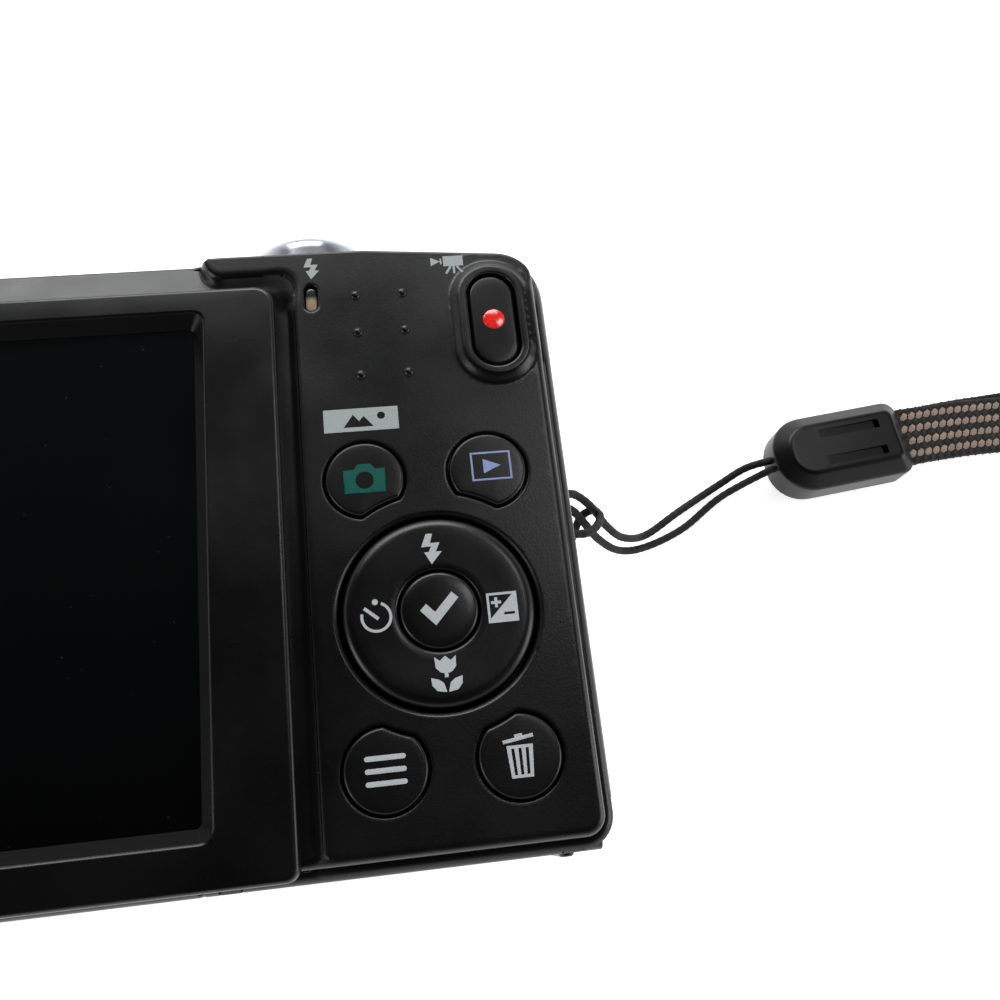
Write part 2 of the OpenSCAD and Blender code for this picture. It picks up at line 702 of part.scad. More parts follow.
front_cover();
rear_cover();
top_cover();
screen_bezel();
screen_window();
lcd_panel();
chassis();
main_board();
key_board();
lens_ring();
lens_housing();
image_sensor();
rear_lens_group();
zoom_motor();
flash_window();
flash_reflector();
flash_tube();
flash_capacitor();
timer_lamp();
microphone();
speaker();
battery_box();
battery_left();
battery_right();
battery_contacts();
card_slot();
usb_connector();
connector_cover_pin();
tripod_socket();
strap_eyelet();
flash_ready_lamp();
case_screws();
shutter_button();
zoom_ring();
power_button();
movie_button();
movie_button_dot();
mode_button();
playback_button();
menu_button();
delete_button();
selector_pad();
multi_selector();
ok_button();
lens_barrel_outer();
lens_barrel_middle();
lens_barrel_inner();
front_lens();
barrier_blade_upper();
barrier_blade_lower();
door_bracket();
battery_door();
door_contact();
connector_cover();
memory_card();
strap_cord();
strap_cap();
strap_webbing();
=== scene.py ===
import math

import bpy
import bmesh
import numpy as np
from mathutils import Matrix, Vector
from mathutils.geometry import delaunay_2d_cdt


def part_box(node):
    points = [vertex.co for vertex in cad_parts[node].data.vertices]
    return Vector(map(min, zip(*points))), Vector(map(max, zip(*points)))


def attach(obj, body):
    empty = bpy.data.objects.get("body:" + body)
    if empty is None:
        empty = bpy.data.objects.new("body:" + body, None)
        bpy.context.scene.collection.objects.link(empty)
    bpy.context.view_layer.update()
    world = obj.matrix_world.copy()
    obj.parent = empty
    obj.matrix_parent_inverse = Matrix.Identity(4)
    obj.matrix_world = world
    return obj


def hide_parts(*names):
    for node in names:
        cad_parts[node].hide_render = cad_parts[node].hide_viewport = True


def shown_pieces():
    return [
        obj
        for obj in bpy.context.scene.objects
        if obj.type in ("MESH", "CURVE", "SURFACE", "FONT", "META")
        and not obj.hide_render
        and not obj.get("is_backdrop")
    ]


# Lengths in this script are millimetres in the frame's axes: +X is to the right seen from the
# screen, +Y is towards the top cover, +Z points out of the screen. Meshes are scaled to metres.
MM = 0.001

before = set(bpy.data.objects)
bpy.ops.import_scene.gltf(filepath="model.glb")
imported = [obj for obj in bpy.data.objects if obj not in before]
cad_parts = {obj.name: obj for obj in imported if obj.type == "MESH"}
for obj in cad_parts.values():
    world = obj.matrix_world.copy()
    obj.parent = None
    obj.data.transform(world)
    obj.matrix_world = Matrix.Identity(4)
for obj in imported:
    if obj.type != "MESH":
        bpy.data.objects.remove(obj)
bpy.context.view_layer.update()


def limits(node):
    """Lowest and highest corner of a CAD node, in millimetres, to the nearest micrometre."""
    low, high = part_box(node)
    return np.round(np.array(low) / MM, 3), np.round(np.array(high) / MM, 3)


def middle(node):
    low, high = limits(node)
    return np.round((low + high) / 2, 3)


# ---- Camera ----

CAMERA_AT = (30.71, -29.22, 114.49)
CAMERA_RIGHT = (0.99055, -0.11139, 0.08005)
CAMERA_UP = (0.08033, 0.94412, 0.31966)
CAMERA_BACK = (-0.11119, -0.31021, 0.94415)
CAMERA_LENS = 35.33


def make_camera():
    data = bpy.data.cameras.new("camera")
    data.lens = CAMERA_LENS
    data.sensor_width = 36.0
    data.clip_start = 0.005
    camera = bpy.data.objects.new("camera", data)
    bpy.context.collection.objects.link(camera)
    turn = Matrix((CAMERA_RIGHT, CAMERA_UP, CAMERA_BACK)).transposed().to_4x4()
    camera.matrix_world = Matrix.Translation(Vector(CAMERA_AT) * MM) @ turn
    bpy.context.scene.camera = camera


make_camera()


# ---- Mesh helpers ----

SMOOTH_ANGLE = 40.0
# Radius that stands for the axis in a turned profile
ON_AXIS = 0.001
# Turns a piece modelled lying flat so that its height runs along -Y
STAND_UP = Matrix(((1, 0, 0, 0), (0, 0, -1, 0), (0, 1, 0, 0), (0, 0, 0, 1)))


def mesh_piece(name, points, faces, material, body="camera_body", smooth_angle=SMOOTH_ANGLE):
    """Object from points in millimetres that rides on a body."""
    mesh = bpy.data.meshes.new(name)
    mesh.from_pydata([tuple(float(c) * MM for c in p) for p in points], [], faces)
    mesh.validate()
    piece = bpy.data.objects.new(name, mesh)
    bpy.context.collection.objects.link(piece)
    mesh.materials.append(material)
    shade(piece, smooth_angle)
    if body:
        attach(piece, body)
    return piece


def shade(piece, smooth_angle=SMOOTH_ANGLE):
    """Smooth shading, with edges sharper than the angle kept crisp."""
    work = bmesh.new()
    work.from_mesh(piece.data)
    for face in work.faces:
        face.smooth = True
    limit = math.radians(smooth_angle)
    for edge in work.edges:
        edge.smooth = not (edge.is_manifold and edge.calc_face_angle(0.0) > limit)
    work.to_mesh(piece.data)
    work.free()


def turn_out(piece):
    """Makes the faces of a closed mesh point outwards."""
    work = bmesh.new()
    work.from_mesh(piece.data)
    bmesh.ops.remove_doubles(work, verts=work.verts, dist=0.0005 * MM)
    bmesh.ops.recalc_face_normals(work, faces=work.faces)
    work.to_mesh(piece.data)
    work.free()


def apply_modifier(piece, kind, **settings):
    modifier = piece.modifiers.new(kind.lower(), kind)
    for key, value in settings.items():
        setattr(modifier, key, value)
    graph = bpy.context.evaluated_depsgraph_get()
    graph.update()
    done = bpy.data.meshes.new_from_object(piece.evaluated_get(graph))
    piece.modifiers.remove(modifier)
    piece.data = done


def join(name, pieces):
    """Joins several pieces into the first one."""
    first = pieces[0]
    work = bmesh.new()
    for piece in pieces:
        work.from_mesh(piece.data)
    work.to_mesh(first.data)
    work.free()
    for piece in pieces[1:]:
        bpy.data.objects.remove(piece)
    first.name = name
    return first


def inside(polygon, x, y):
    """Even-odd test of points against one closed polygon."""
    result = np.zeros(len(x), bool)
    a = np.asarray(polygon)
    b = np.roll(a, -1, axis=0)
    for (x0, y0), (x1, y1) in zip(a, b):
        crosses = (y0 > y) != (y1 > y)
        slope = (x1 - x0) / np.where(y1 == y0, 1e-12, y1 - y0)
        result ^= crosses & (x < x0 + (y - y0) * slope)
    return result


def triangulate(loops, points, spare=0.06):
    """Triangles over the area inside an odd number of loops, through extra points in it."""
    flat = [tuple(p) for loop in loops for p in loop]
    edges = []
    start = 0
    for loop in loops:
        count = len(loop)
        edges += [(start + k, start + (k + 1) % count) for k in range(count)]
        start += count
    if len(points):
        points = np.asarray(points, float)
        keep = np.zeros(len(points), bool)
        for loop in loops:
            keep ^= inside(loop, points[:, 0], points[:, 1])
        border = np.array(flat)
        # Points too near the loops are dropped, a batch at a time to spare memory
        batch = 2000
        for start in range(0, len(points), batch):
            part = points[start:start + batch]
            near = np.sqrt(((part[:, None, :] - border[None]) ** 2).sum(2)).min(1)
            keep[start:start + batch] &= near > spare
        flat += [tuple(p) for p in points[keep]]
    result = delaunay_2d_cdt([Vector(p) for p in flat], edges, [], 0, 1e-6)
    verts = np.array([tuple(v) for v in result[0]])
    triangles = np.array([tuple(f) for f in result[2]])
    centre = verts[triangles].mean(1)
    keep = np.zeros(len(triangles), bool)
    for loop in loops:
        keep ^= inside(loop, centre[:, 0], centre[:, 1])
    return verts, triangles[keep]


def circle(x, y, r, count=64):
    a = np.arange(count) * 2 * np.pi / count
    return np.column_stack([x + r * np.cos(a), y + r * np.sin(a)])


def pill(x, y, w, h, count=16, parts=12):
    """Upright oblong with round ends."""
    a = np.linspace(0, np.pi, count)
    r = w / 2
    reach = h / 2 - r
    down = np.linspace(reach, -reach, parts + 1)[1:-1]
    top = np.column_stack([x + r * np.cos(a), y + reach + r * np.sin(a)])
    left = np.column_stack([np.full(len(down), x - r), y + down])
    return np.vstack([top, left, [2 * x, 2 * y] - top, [2 * x, 2 * y] - left])


def rounded(x0, x1, y0, y1, radii, count=8):
    """Rectangle with corner radii from the lower left corner round to the upper left one."""
    centres = [(x0 + radii[0], y0 + radii[0], 180), (x1 - radii[1], y0 + radii[1], 270),
               (x1 - radii[2], y1 - radii[2], 0), (x0 + radii[3], y1 - radii[3], 90)]
    loop = []
    for (x, y, start), r in zip(centres, radii):
        for a in np.radians(np.linspace(start, start + 90, count)):
            loop.append((x + r * math.cos(a), y + r * math.sin(a)))
    return np.array(loop)


def box_outline(x0, x1, y0, y1, radius, count=6):
    """Outline of a rounded box as a function of its inset, for slab."""
    def outline(i):
        return rounded(x0 + i, x1 - i, y0 + i, y1 - i, [radius - i] * 4, count)
    return outline


def pill_outline(at, w, h, count=32):
    """Outline of an upright oblong as a function of its inset, for slab."""
    def outline(i):
        return pill(*at, w - 2 * i, h - 2 * i, count)
    return outline


def grid(x0, x1, y0, y1, step):
    """Points of a square grid, row after row."""
    x, y = np.meshgrid(np.arange(x0, x1, step), np.arange(y0, y1, step))
    return np.column_stack([x.ravel(), y.ravel()])


def round_rect_distance(x, y, x0, x1, y0, y1, radii):
    """Signed distance to a rounded rectangle, negative inside."""
    right = x > (x0 + x1) / 2
    high = y > (y0 + y1) / 2
    r = np.where(high, np.where(right, radii[2], radii[3]), np.where(right, radii[1], radii[0]))
    dx = np.abs(x - (x0 + x1) / 2) - (x1 - x0) / 2 + r
    dy = np.abs(y - (y0 + y1) / 2) - (y1 - y0) / 2 + r
    outside = np.hypot(np.maximum(dx, 0), np.maximum(dy, 0))
    return outside + np.minimum(np.maximum(dx, dy), 0) - r


def pill_distance(x, y, at, w, h):
    dy = np.maximum(np.abs(y - at[1]) - (h - w) / 2, 0)
    return np.hypot(x - at[0], dy) - w / 2


def smooth_step(t):
    t = np.clip(t, 0, 1)
    return t * t * (3 - 2 * t)


def fillet(depth, r):
    """How far a rounded edge of radius r has dropped at a depth in from the edge."""
    d = np.clip(depth, 0, r)
    return r - np.sqrt(np.maximum(r * r - (r - d) ** 2, 0))


def lifted(base, profile):
    """Profile of radius and height pairs, raised by a base height."""
    return [(r, base + h) for r, h in profile]


def closed_piece(name, points, faces, material, body, smooth_angle=SMOOTH_ANGLE):
    """Piece whose faces are all made to point outwards."""
    piece = mesh_piece(name, points, faces, material, body, smooth_angle)
    turn_out(piece)
    shade(piece, smooth_angle)
    return piece


def revolve(name, profile, centre, material, axis="z", steps=96, body="camera_body",
            smooth_angle=30.0):
    """Turned piece; the profile lists radius and height round its closed section."""
    first, second, along = {"x": (1, 2, 0), "y": (0, 2, 1), "z": (0, 1, 2)}[axis]
    points = np.zeros((steps, len(profile), 3))
    for k in range(steps):
        a = 2 * math.pi * k / steps
        for point, (r, h) in zip(points[k], profile):
            point[first] = centre[first] + r * math.cos(a)
            point[second] = centre[second] + r * math.sin(a)
            point[along] = h
    count = len(profile)
    faces = []
    for k in range(steps):
        n = (k + 1) % steps
        for i in range(count):
            j = (i + 1) % count
            faces.append((k * count + i, k * count + j, n * count + j, n * count + i))
    return closed_piece(name, points.reshape(-1, 3), faces, material, body, smooth_angle)


def plate(name, loops, points, front, back, material, spare=0.06, body="camera_body",
          open_edge=False):
    """Sheet over flat loops, bent by front and back; open_edge leaves its outer wall out."""
    flat, triangles = triangulate(loops, points, spare)
    count = len(flat)
    verts = [tuple(p) for p in front(flat)] + [tuple(p) for p in back(flat)]
    faces = [tuple(t) for t in triangles]
    faces += [tuple(t + count)[::-1] for t in triangles]
    for index, loop in enumerate(loops):
        if open_edge and index == 0:
            continue
        faces += strips(len(verts), 2, len(loop))
        verts += [tuple(p) for p in front(loop)] + [tuple(p) for p in back(loop)]
    make = mesh_piece if open_edge else closed_piece
    return make(name, verts, faces, material, body)


def strips(start, rings, count, closed=False):
    """Quads between rings of count points each, counted from start."""
    faces = []
    for i in range(rings if closed else rings - 1):
        j = (i + 1) % rings
        for k in range(count):
            n = (k + 1) % count
            faces.append((start + i * count + k, start + i * count + n,
                          start + j * count + n, start + j * count + k))
    return faces


def loft(name, rings, material, body="camera_body", closed=False, smooth_angle=SMOOTH_ANGLE):
    """Skin through rings of points, with both ends capped unless it closes on itself."""
    count = len(rings[0])
    verts = np.vstack(rings)
    faces = strips(0, len(rings), count, closed)
    if not closed:
        faces.append(tuple(range(count)))
        faces.append(tuple(range(len(verts) - count, len(verts))))
    return closed_piece(name, verts, faces, material, body, smooth_angle)


def rim_skin(rings, material):
    """Open skin through rings of points, to be joined to the face of a cover."""
    return mesh_piece("rim", np.vstack(rings), strips(0, len(rings), len(rings[0])), material, None)


def level(loop, z):
    """Flat loop lifted to a level, or to one level for each point."""
    return np.column_stack([loop, np.full(len(loop), z)])


def slab(name, outline, low, high, material, body="camera_body", low_r=0.1, high_r=0.3,
         dome=0.0, steps=5):
    """Button-like piece; outline(inset) gives its loop, and dome lifts its middle."""
    angles = np.linspace(0, math.pi / 2, steps)
    rings = [level(outline(low_r * (1 - math.sin(a))), low + low_r * (1 - math.cos(a)))
             for a in angles]
    rings += [level(outline(high_r * (1 - math.cos(a))), high - high_r * (1 - math.sin(a)))
              for a in angles]
    edge = outline(high_r)
    centre = edge.mean(0)
    for share in (0.85, 0.65, 0.45, 0.25, 0.08):
        rings.append(level(centre + (edge - centre) * share, high + dome * (1 - share ** 2)))
    return loft(name, rings, material, body)


def cut_with(piece, cutter):
    turn_out(cutter)
    apply_modifier(piece, "BOOLEAN", object=cutter, operation="DIFFERENCE", solver="EXACT")
    bpy.data.objects.remove(cutter)
    shade(piece, 30.0)


def cut_away(piece, boxes):
    """Cuts boxes, each given as its limits along X, Y and Z, out of a piece."""
    verts = []
    faces = []
    for x, y, z in boxes:
        start = len(verts)
        verts += [(i, j, k) for i in x for j in y for k in z]
        faces += [tuple(start + v for v in face) for face in
                  ((0, 1, 3, 2), (4, 6, 7, 5), (0, 4, 5, 1), (2, 3, 7, 6), (0, 2, 6, 4), (1, 5, 7, 3))]
    cut_with(piece, mesh_piece("cutter", verts, faces, piece.data.materials[0], None))


# ---- Materials ----

def rgb(red, green, blue):
    """Linear colour from display values between 0 and 255."""
    return tuple(((v / 255 + 0.055) / 1.055) ** 2.4 if v > 10 else v / 255 / 12.92
                 for v in (red, green, blue)) + (1.0,)


class Nodes:
    """Small helper that adds and links the nodes of one material."""

    def __init__(self, name):
        self.material = bpy.data.materials.new(name)
        self.material.use_nodes = True
        self.tree = self.material.node_tree
        self.shader = self.tree.nodes["Principled BSDF"]
        self.coords = self.add("ShaderNodeTexCoord").outputs["Object"]

    def add(self, kind, **inputs):
        node = self.tree.nodes.new(kind)
        for key, value in inputs.items():
            self.feed(node.inputs[key], value)
        return node

    def feed(self, socket, value):
        if isinstance(value, bpy.types.NodeSocket):
            self.tree.links.new(value, socket)
        else:
            socket.default_value = value

    def noise(self, scale, detail=3.0):
        """Noise whose grains are about 1 / scale metres across."""
        node = self.add("ShaderNodeTexNoise", Vector=self.coords, Scale=scale, Detail=detail)
        return node.outputs["Fac"]

    def span(self, value, low, high, start=0.3, end=0.7):
        """Value carried from the range start to end over to the range low to high."""
        node = self.add("ShaderNodeMapRange")
        self.feed(node.inputs["Value"], value)
        for key, number in (("From Min", start), ("From Max", end), ("To Min", low), ("To Max", high)):
            node.inputs[key].default_value = number
        return node.outputs["Result"]

    def mix(self, share, first, second):
        node = self.tree.nodes.new("ShaderNodeMix")
        node.data_type = "RGBA"
        self.feed(node.inputs[0], share)
        self.feed(node.inputs[6], first)
        self.feed(node.inputs[7], second)
        return node.outputs[2]

    def combine(self, operation, first, second):
        node = self.add("ShaderNodeMath")
        node.operation = operation
        self.feed(node.inputs[0], first)
        self.feed(node.inputs[1], second)
        return node.outputs["Value"]

    def upward(self, low, high, start, end):
        """Value that goes from low to high between two places along Y, in millimetres."""
        split = self.add("ShaderNodeSeparateXYZ", Vector=self.coords)
        return self.span(split.outputs["Y"], low, high, start * MM, end * MM)

    def bump(self, height, strength, distance):
        node = self.add("ShaderNodeBump", Strength=strength, Distance=distance * MM, Height=height)
        self.feed(self.shader.inputs["Normal"], node.outputs["Normal"])

    def surface(self, **inputs):
        for key, value in inputs.items():
            self.feed(self.shader.inputs[key.replace("_", " ")], value)


def finish_of(name, first, second, rough, grain=5000.0, relief=0.0, spread=0.06, metal=0.0,
              coat=0.0, specular=0.5):
    """Surface with a fine two-tone grain, uneven gloss and a little relief."""
    nodes = Nodes(name)
    fine = nodes.noise(grain, 2.0)
    broad = nodes.noise(90.0, 4.0)
    tone = nodes.mix(nodes.span(fine, 0.0, 1.0), rgb(*first), rgb(*second))
    worn = nodes.mix(nodes.span(broad, 0.0, 0.35), tone, rgb(*second))
    nodes.surface(Base_Color=worn, Roughness=nodes.span(broad, rough - spread, rough + spread),
                  Metallic=metal, Coat_Weight=coat, Specular_IOR_Level=specular)
    if relief:
        nodes.bump(fine, 0.5, relief)
    return nodes.material


case_black = finish_of("case_black", (3, 3, 3), (8, 8, 9), 0.31, 5200.0, 0.02, specular=0.4)
front_black = finish_of("front_black", (16, 16, 17), (30, 30, 32), 0.34, 9000.0, 0.012, coat=0.2)
bezel_black = finish_of("bezel_black", (3, 3, 3), (8, 8, 9), 0.3, 6000.0, 0.014, specular=0.4)
bezel_dull = finish_of("bezel_dull", (3, 3, 3), (8, 8, 9), 0.3, 6000.0, 0.014, specular=0.12)
button_black = finish_of("button_black", (3, 3, 3), (7, 7, 8), 0.31, 5200.0, 0.014, specular=0.4)
inner_black = finish_of("inner_black", (8, 8, 9), (15, 15, 16), 0.6, 4000.0, 0.01)
movie_black = finish_of("movie_black", (6, 6, 7), (11, 11, 12), 0.3, 5200.0, 0.01, specular=0.35)
dot_red = finish_of("dot_red", (222, 20, 20), (250, 52, 42), 0.2, 2600.0, 0.03, coat=0.6)
champagne = finish_of("champagne", (116, 103, 92), (138, 124, 110), 0.36, 14000.0, 0.006, metal=0.7)
chrome = finish_of("chrome", (176, 184, 192), (204, 210, 216), 0.16, 8000.0, 0.002, metal=1.0)
silver = finish_of("silver", (164, 170, 178), (190, 195, 202), 0.24, 8000.0, 0.002, metal=0.75)
ring_metal = finish_of("ring_metal", (160, 162, 166), (186, 188, 192), 0.34, 9000.0, 0.004, metal=0.9)
barrel_grey = finish_of("barrel_grey", (92, 94, 99), (112, 114, 119), 0.35, 9000.0, 0.006, metal=0.4)
steel = finish_of("steel", (158, 161, 166), (188, 191, 195), 0.28, 5000.0, 0.004, metal=1.0)
sheet_steel = finish_of("sheet_steel", (140, 144, 148), (172, 176, 180), 0.34, 2500.0, 0.004, metal=1.0)
contact_gold = finish_of("contact_gold", (196, 152, 78), (224, 184, 104), 0.3, 4000.0, 0.003, metal=1.0)
foil = finish_of("foil", (222, 225, 228), (240, 242, 244), 0.1, 3000.0, 0.003, metal=1.0)
rubber = finish_of("rubber", (18, 18, 20), (28, 28, 30), 0.6, 7000.0, 0.02)
card_blue = finish_of("card_blue", (28, 44, 104), (40, 60, 128), 0.42, 4000.0, 0.006)
sleeve = finish_of("sleeve", (22, 24, 30), (34, 37, 46), 0.3, 3000.0, 0.004)
amber = finish_of("amber", (214, 128, 44), (236, 156, 66), 0.18, 2500.0, coat=0.5)
lamp_clear = finish_of("lamp_clear", (172, 164, 150), (206, 200, 188), 0.2, 2500.0, coat=0.4)
bronze = finish_of("bronze", (44, 36, 31), (60, 50, 43), 0.36, 9000.0, 0.004, metal=0.5)
dark_glass = finish_of("dark_glass", (16, 20, 34), (34, 36, 58), 0.06, 400.0, coat=1.0)
sensor_blue = finish_of("sensor_blue", (58, 70, 96), (84, 96, 124), 0.16, 1500.0)
print_white = finish_of("print_white", (168, 174, 178), (190, 195, 198), 0.5, 9000.0)
print_soft = finish_of("print_soft", (146, 154, 154), (168, 175, 174), 0.5, 9000.0)
print_green = finish_of("print_green", (1, 74, 68), (4, 88, 78), 0.5, 9000.0, specular=0.2)
print_lilac = finish_of("print_lilac", (118, 132, 178), (140, 154, 198), 0.5, 9000.0)
cap_dark = finish_of("cap_dark", (5, 5, 7), (11, 12, 15), 0.34, 5200.0, 0.014, specular=0.3)


def board_material():
    """Green circuit board with fine pale tracks."""
    nodes = Nodes("board_green")
    tracks = nodes.add("ShaderNodeTexBrick", Vector=nodes.coords, Scale=260.0)
    tracks.inputs["Mortar Size"].default_value = 0.012
    shade_of = nodes.mix(nodes.noise(700.0), rgb(26, 92, 58), rgb(38, 116, 74))
    tone = nodes.mix(tracks.outputs["Fac"], shade_of, rgb(74, 150, 104))
    nodes.surface(Base_Color=tone, Roughness=nodes.span(nodes.noise(300.0), 0.3, 0.45))
    nodes.bump(tracks.outputs["Fac"], 0.3, 0.02)
    return nodes.material


def window_material():
    """Dark display glass painted lighter towards its top as a painted sheen, with scuffs and a little dust.
    """
    nodes = Nodes("window_glass")
    low, high = limits("screen_window")
    # Painted sheen: the glass colour grows lighter towards its top, standing in for a reflection.
    ground = nodes.mix(nodes.upward(0.0, 1.0, low[1], high[1]), rgb(3, 3, 4), rgb(11, 15, 15))
    speck = nodes.add("ShaderNodeTexVoronoi", Vector=nodes.coords, Scale=300.0)
    speck.voronoi_dimensions = "2D"
    near = nodes.span(speck.outputs["Distance"], 1.0, 0.0, 0.01, 0.04)
    chosen = nodes.span(nodes.noise(260.0, 3.0), 0.0, 1.0, 0.52, 0.8)
    dust = nodes.combine("MULTIPLY", near, chosen)
    tone = nodes.mix(dust, ground, rgb(74, 74, 74))
    smear = nodes.noise(45.0, 6.0)
    nodes.surface(Base_Color=tone, Roughness=nodes.span(smear, 0.06, 0.2), Coat_Weight=0.1,
                  Specular_IOR_Level=0.35)
    nodes.bump(dust, 0.4, 0.01)
    return nodes.material


def ready_lamp_material():
    """Small lamp whose upper half is painted dark as shade from the rim of its sunken hole, and whose lower
    half shows a warm reflector.
    """
    nodes = Nodes("ready_lamp")
    low, _ = limits("flash_ready_lamp")
    # Painted shade: the upper half of the lens is darkened to a grey where the hole's rim would shade it.
    lit = nodes.upward(1.0, 0.0, low[1] + 1.2, low[1] + 1.7)
    warm = nodes.mix(nodes.noise(1800.0), rgb(150, 126, 104), rgb(184, 162, 140))
    tone = nodes.mix(lit, rgb(40, 44, 48), warm)
    nodes.surface(Base_Color=tone, Roughness=nodes.span(nodes.noise(900.0), 0.12, 0.2),
                  Coat_Weight=0.3)
    return nodes.material


def cell_material():
    """Battery: bare steel ends, and a sleeve with a black band and a copper band."""
    nodes = Nodes("cell_sleeve")
    band = nodes.upward(0.0, 1.0, 8, 8.2)
    tone = nodes.mix(band, rgb(24, 24, 27), rgb(190, 120, 62))
    flecked = nodes.mix(nodes.span(nodes.noise(3000.0), 0.0, 0.2), tone, rgb(210, 170, 120))
    low, high = limits("battery_left")
    lower = nodes.upward(1.0, 0.0, low[1] + 0.4, low[1] + 0.5)
    upper = nodes.upward(0.0, 1.0, high[1] - 1.6, high[1] - 1.5)
    bare = rgb(168, 168, 170)
    sleeved = nodes.mix(lower, flecked, bare)
    nodes.surface(Base_Color=nodes.mix(upper, sleeved, bare),
                  Metallic=nodes.span(band, 0.1, 0.9, 0.0, 1.0),
                  Roughness=nodes.span(nodes.noise(200.0), 0.25, 0.35))
    return nodes.material


def woven_material(name, first, second, grain, relief, sheen):
    """Thread-like surface: crossed fine waves over an uneven tone."""
    nodes = Nodes(name)
    waves = []
    for direction in ("X", "Y"):
        wave = nodes.add("ShaderNodeTexWave", Vector=nodes.coords, Scale=grain, Distortion=2.0)
        wave.bands_direction = direction
        waves.append(wave.outputs["Fac"])
    share = nodes.combine("MAXIMUM", *waves)
    tone = nodes.mix(share, rgb(*first), rgb(*second))
    uneven = nodes.mix(nodes.span(nodes.noise(900.0), 0.0, 0.4), tone, rgb(*first))
    nodes.surface(Base_Color=uneven, Roughness=nodes.span(nodes.noise(500.0), 0.7, 0.9),
                  Sheen_Weight=sheen)
    nodes.bump(share, 0.5, relief)
    return nodes.material


board_green = board_material()
window_glass = window_material()
ready_glass = ready_lamp_material()
cell_sleeve = cell_material()
cord_thread = woven_material("cord_thread", (3, 3, 3), (10, 11, 9), 1400.0, 0.04, 0.03)
web_ground = woven_material("web_ground", (4, 4, 4), (17, 14, 13), 1100.0, 0.05, 0.04)
web_thread = woven_material("web_thread", (104, 86, 76), (176, 154, 138), 1500.0, 0.05, 0.1)
web_brown = woven_material("web_brown", (17, 12, 10), (44, 33, 28), 1500.0, 0.05, 0.04)


# ---- Strap ----

# Route of the cord: out of the cap, round the eyelet post in a hitch, and back into the cap
CORD_ROUTE = [
    [78.9, 9.8, 3.0], [75.4, 9.4, 1.8], [72.0, 7.9, 0.7], [66.2, 4.8, 0.7], [61.3, 1.9, 1.6],
    [57.6, 0.8, 5.2], [54.9, 1.2, 9.2], [52.7, 2.5, 12.8], [50.4, 3.3, 15.4], [48.6, 2.8, 16.3],
    [46.9, 2.3, 16.3], [45.7, 1.8, 16.3], [45.2, 0.6, 16.3], [45.7, -0.6, 16.3], [46.9, -1.1, 16.3],
    [48.8, -1.3, 16.4], [50.7, -1.3, 15.8], [52.1, -0.6, 14.5], [53.2, 0.6, 13.1], [53.6, 1.8, 12.1],
    [53.1, 2.7, 11.0], [52.0, 2.4, 10.0], [51.1, 1.0, 9.7], [50.2, -0.7, 11.0], [49.3, -1.7, 13.2],
    [48.2, -1.5, 14.7], [46.9, -1.1, 15.1], [45.7, -0.6, 15.1], [45.2, 0.6, 15.1], [45.7, 1.8, 15.1],
    [46.9, 2.3, 15.1], [48.6, 2.3, 15.0], [50.4, 1.9, 13.8], [52.0, 0.9, 11.6], [54.0, 0.0, 8.2],
    [57.0, -0.4, 4.2], [60.9, 0.4, 1.4], [66.2, 2.5, 0.7], [72.0, 6.3, 0.7], [78.8, 8.8, 3.0]]
# Route of the webbing loop; the fourth number is the tilt of the band in degrees
WEB_ROUTE = [
    [95.0, 11.1, 3.7, 0], [104, 12.0, 3.0, 0], [113, 12.4, 2.2, 0], [122, 11.8, 2.4, -12],
    [131, 9.4, 3.0, -40], [140, 6.0, 4.0, -72], [150, 2.0, 4.2, -90], [162, -2.0, 4.2, -90],
    [174, -5.0, 4.2, -90], [186, -6.6, 4.2, -90], [197, -5.8, 4.2, -90], [206, -1.8, 4.2, -90],
    [212, 5.2, 4.2, -90], [213.8, 13.6, 4.2, -90], [211, 22.0, 4.2, -90], [204, 28.6, 4.2, -90],
    [195, 31.8, 4.2, -90], [184, 31.8, 4.2, -90], [172, 29.6, 4.2, -90], [160, 26.2, 4.2, -90],
    [149, 22.6, 4.2, -96], [139, 19.2, 3.9, -120], [130, 16.4, 2.8, -150], [121, 14.6, 1.4, -172],
    [112, 13.6, 0.9, -180], [104, 12.8, 1.3, -180], [95.0, 11.3, 2.3, -180]]
CORD_R = 0.475
CORD_SIDES = 20
CORD_STRANDS = 5
CORD_LAY = 1.9
CORD_RELIEF = 0.03
WEB_W = 7.5
WEB_T = 1.1
WEB_WALES = 15
STITCH_ROWS = 9
STITCH_PITCH = 1.12
STITCH_ROW_GAP = 0.83


def smoothed(route, spacing):
    """Points about one spacing apart on a smooth curve through the route."""
    p = np.array(route, float)
    fine = []
    for i in range(len(p) - 1):
        a, b = p[max(i - 1, 0)], p[i]
        c, d = p[i + 1], p[min(i + 2, len(p) - 1)]
        for t in np.arange(20) / 20:
            fine.append(0.5 * (2 * b + (c - a) * t + (2 * a - 5 * b + 4 * c - d) * t ** 2
                               + (3 * b - a - 3 * c + d) * t ** 3))
    fine = np.array(fine + [p[-1]])
    steps = np.linalg.norm(np.diff(fine[:, :3], axis=0), axis=1)
    run = np.concatenate([[0], np.cumsum(steps)])
    count = max(2, round(run[-1] / spacing))
    places = np.linspace(0, run[-1], count + 1)
    return np.column_stack([np.interp(places, run, fine[:, k]) for k in range(p.shape[1])]), places


def headings(path):
    turns = np.gradient(path[:, :3], axis=0)
    return turns / np.linalg.norm(turns, axis=1)[:, None]


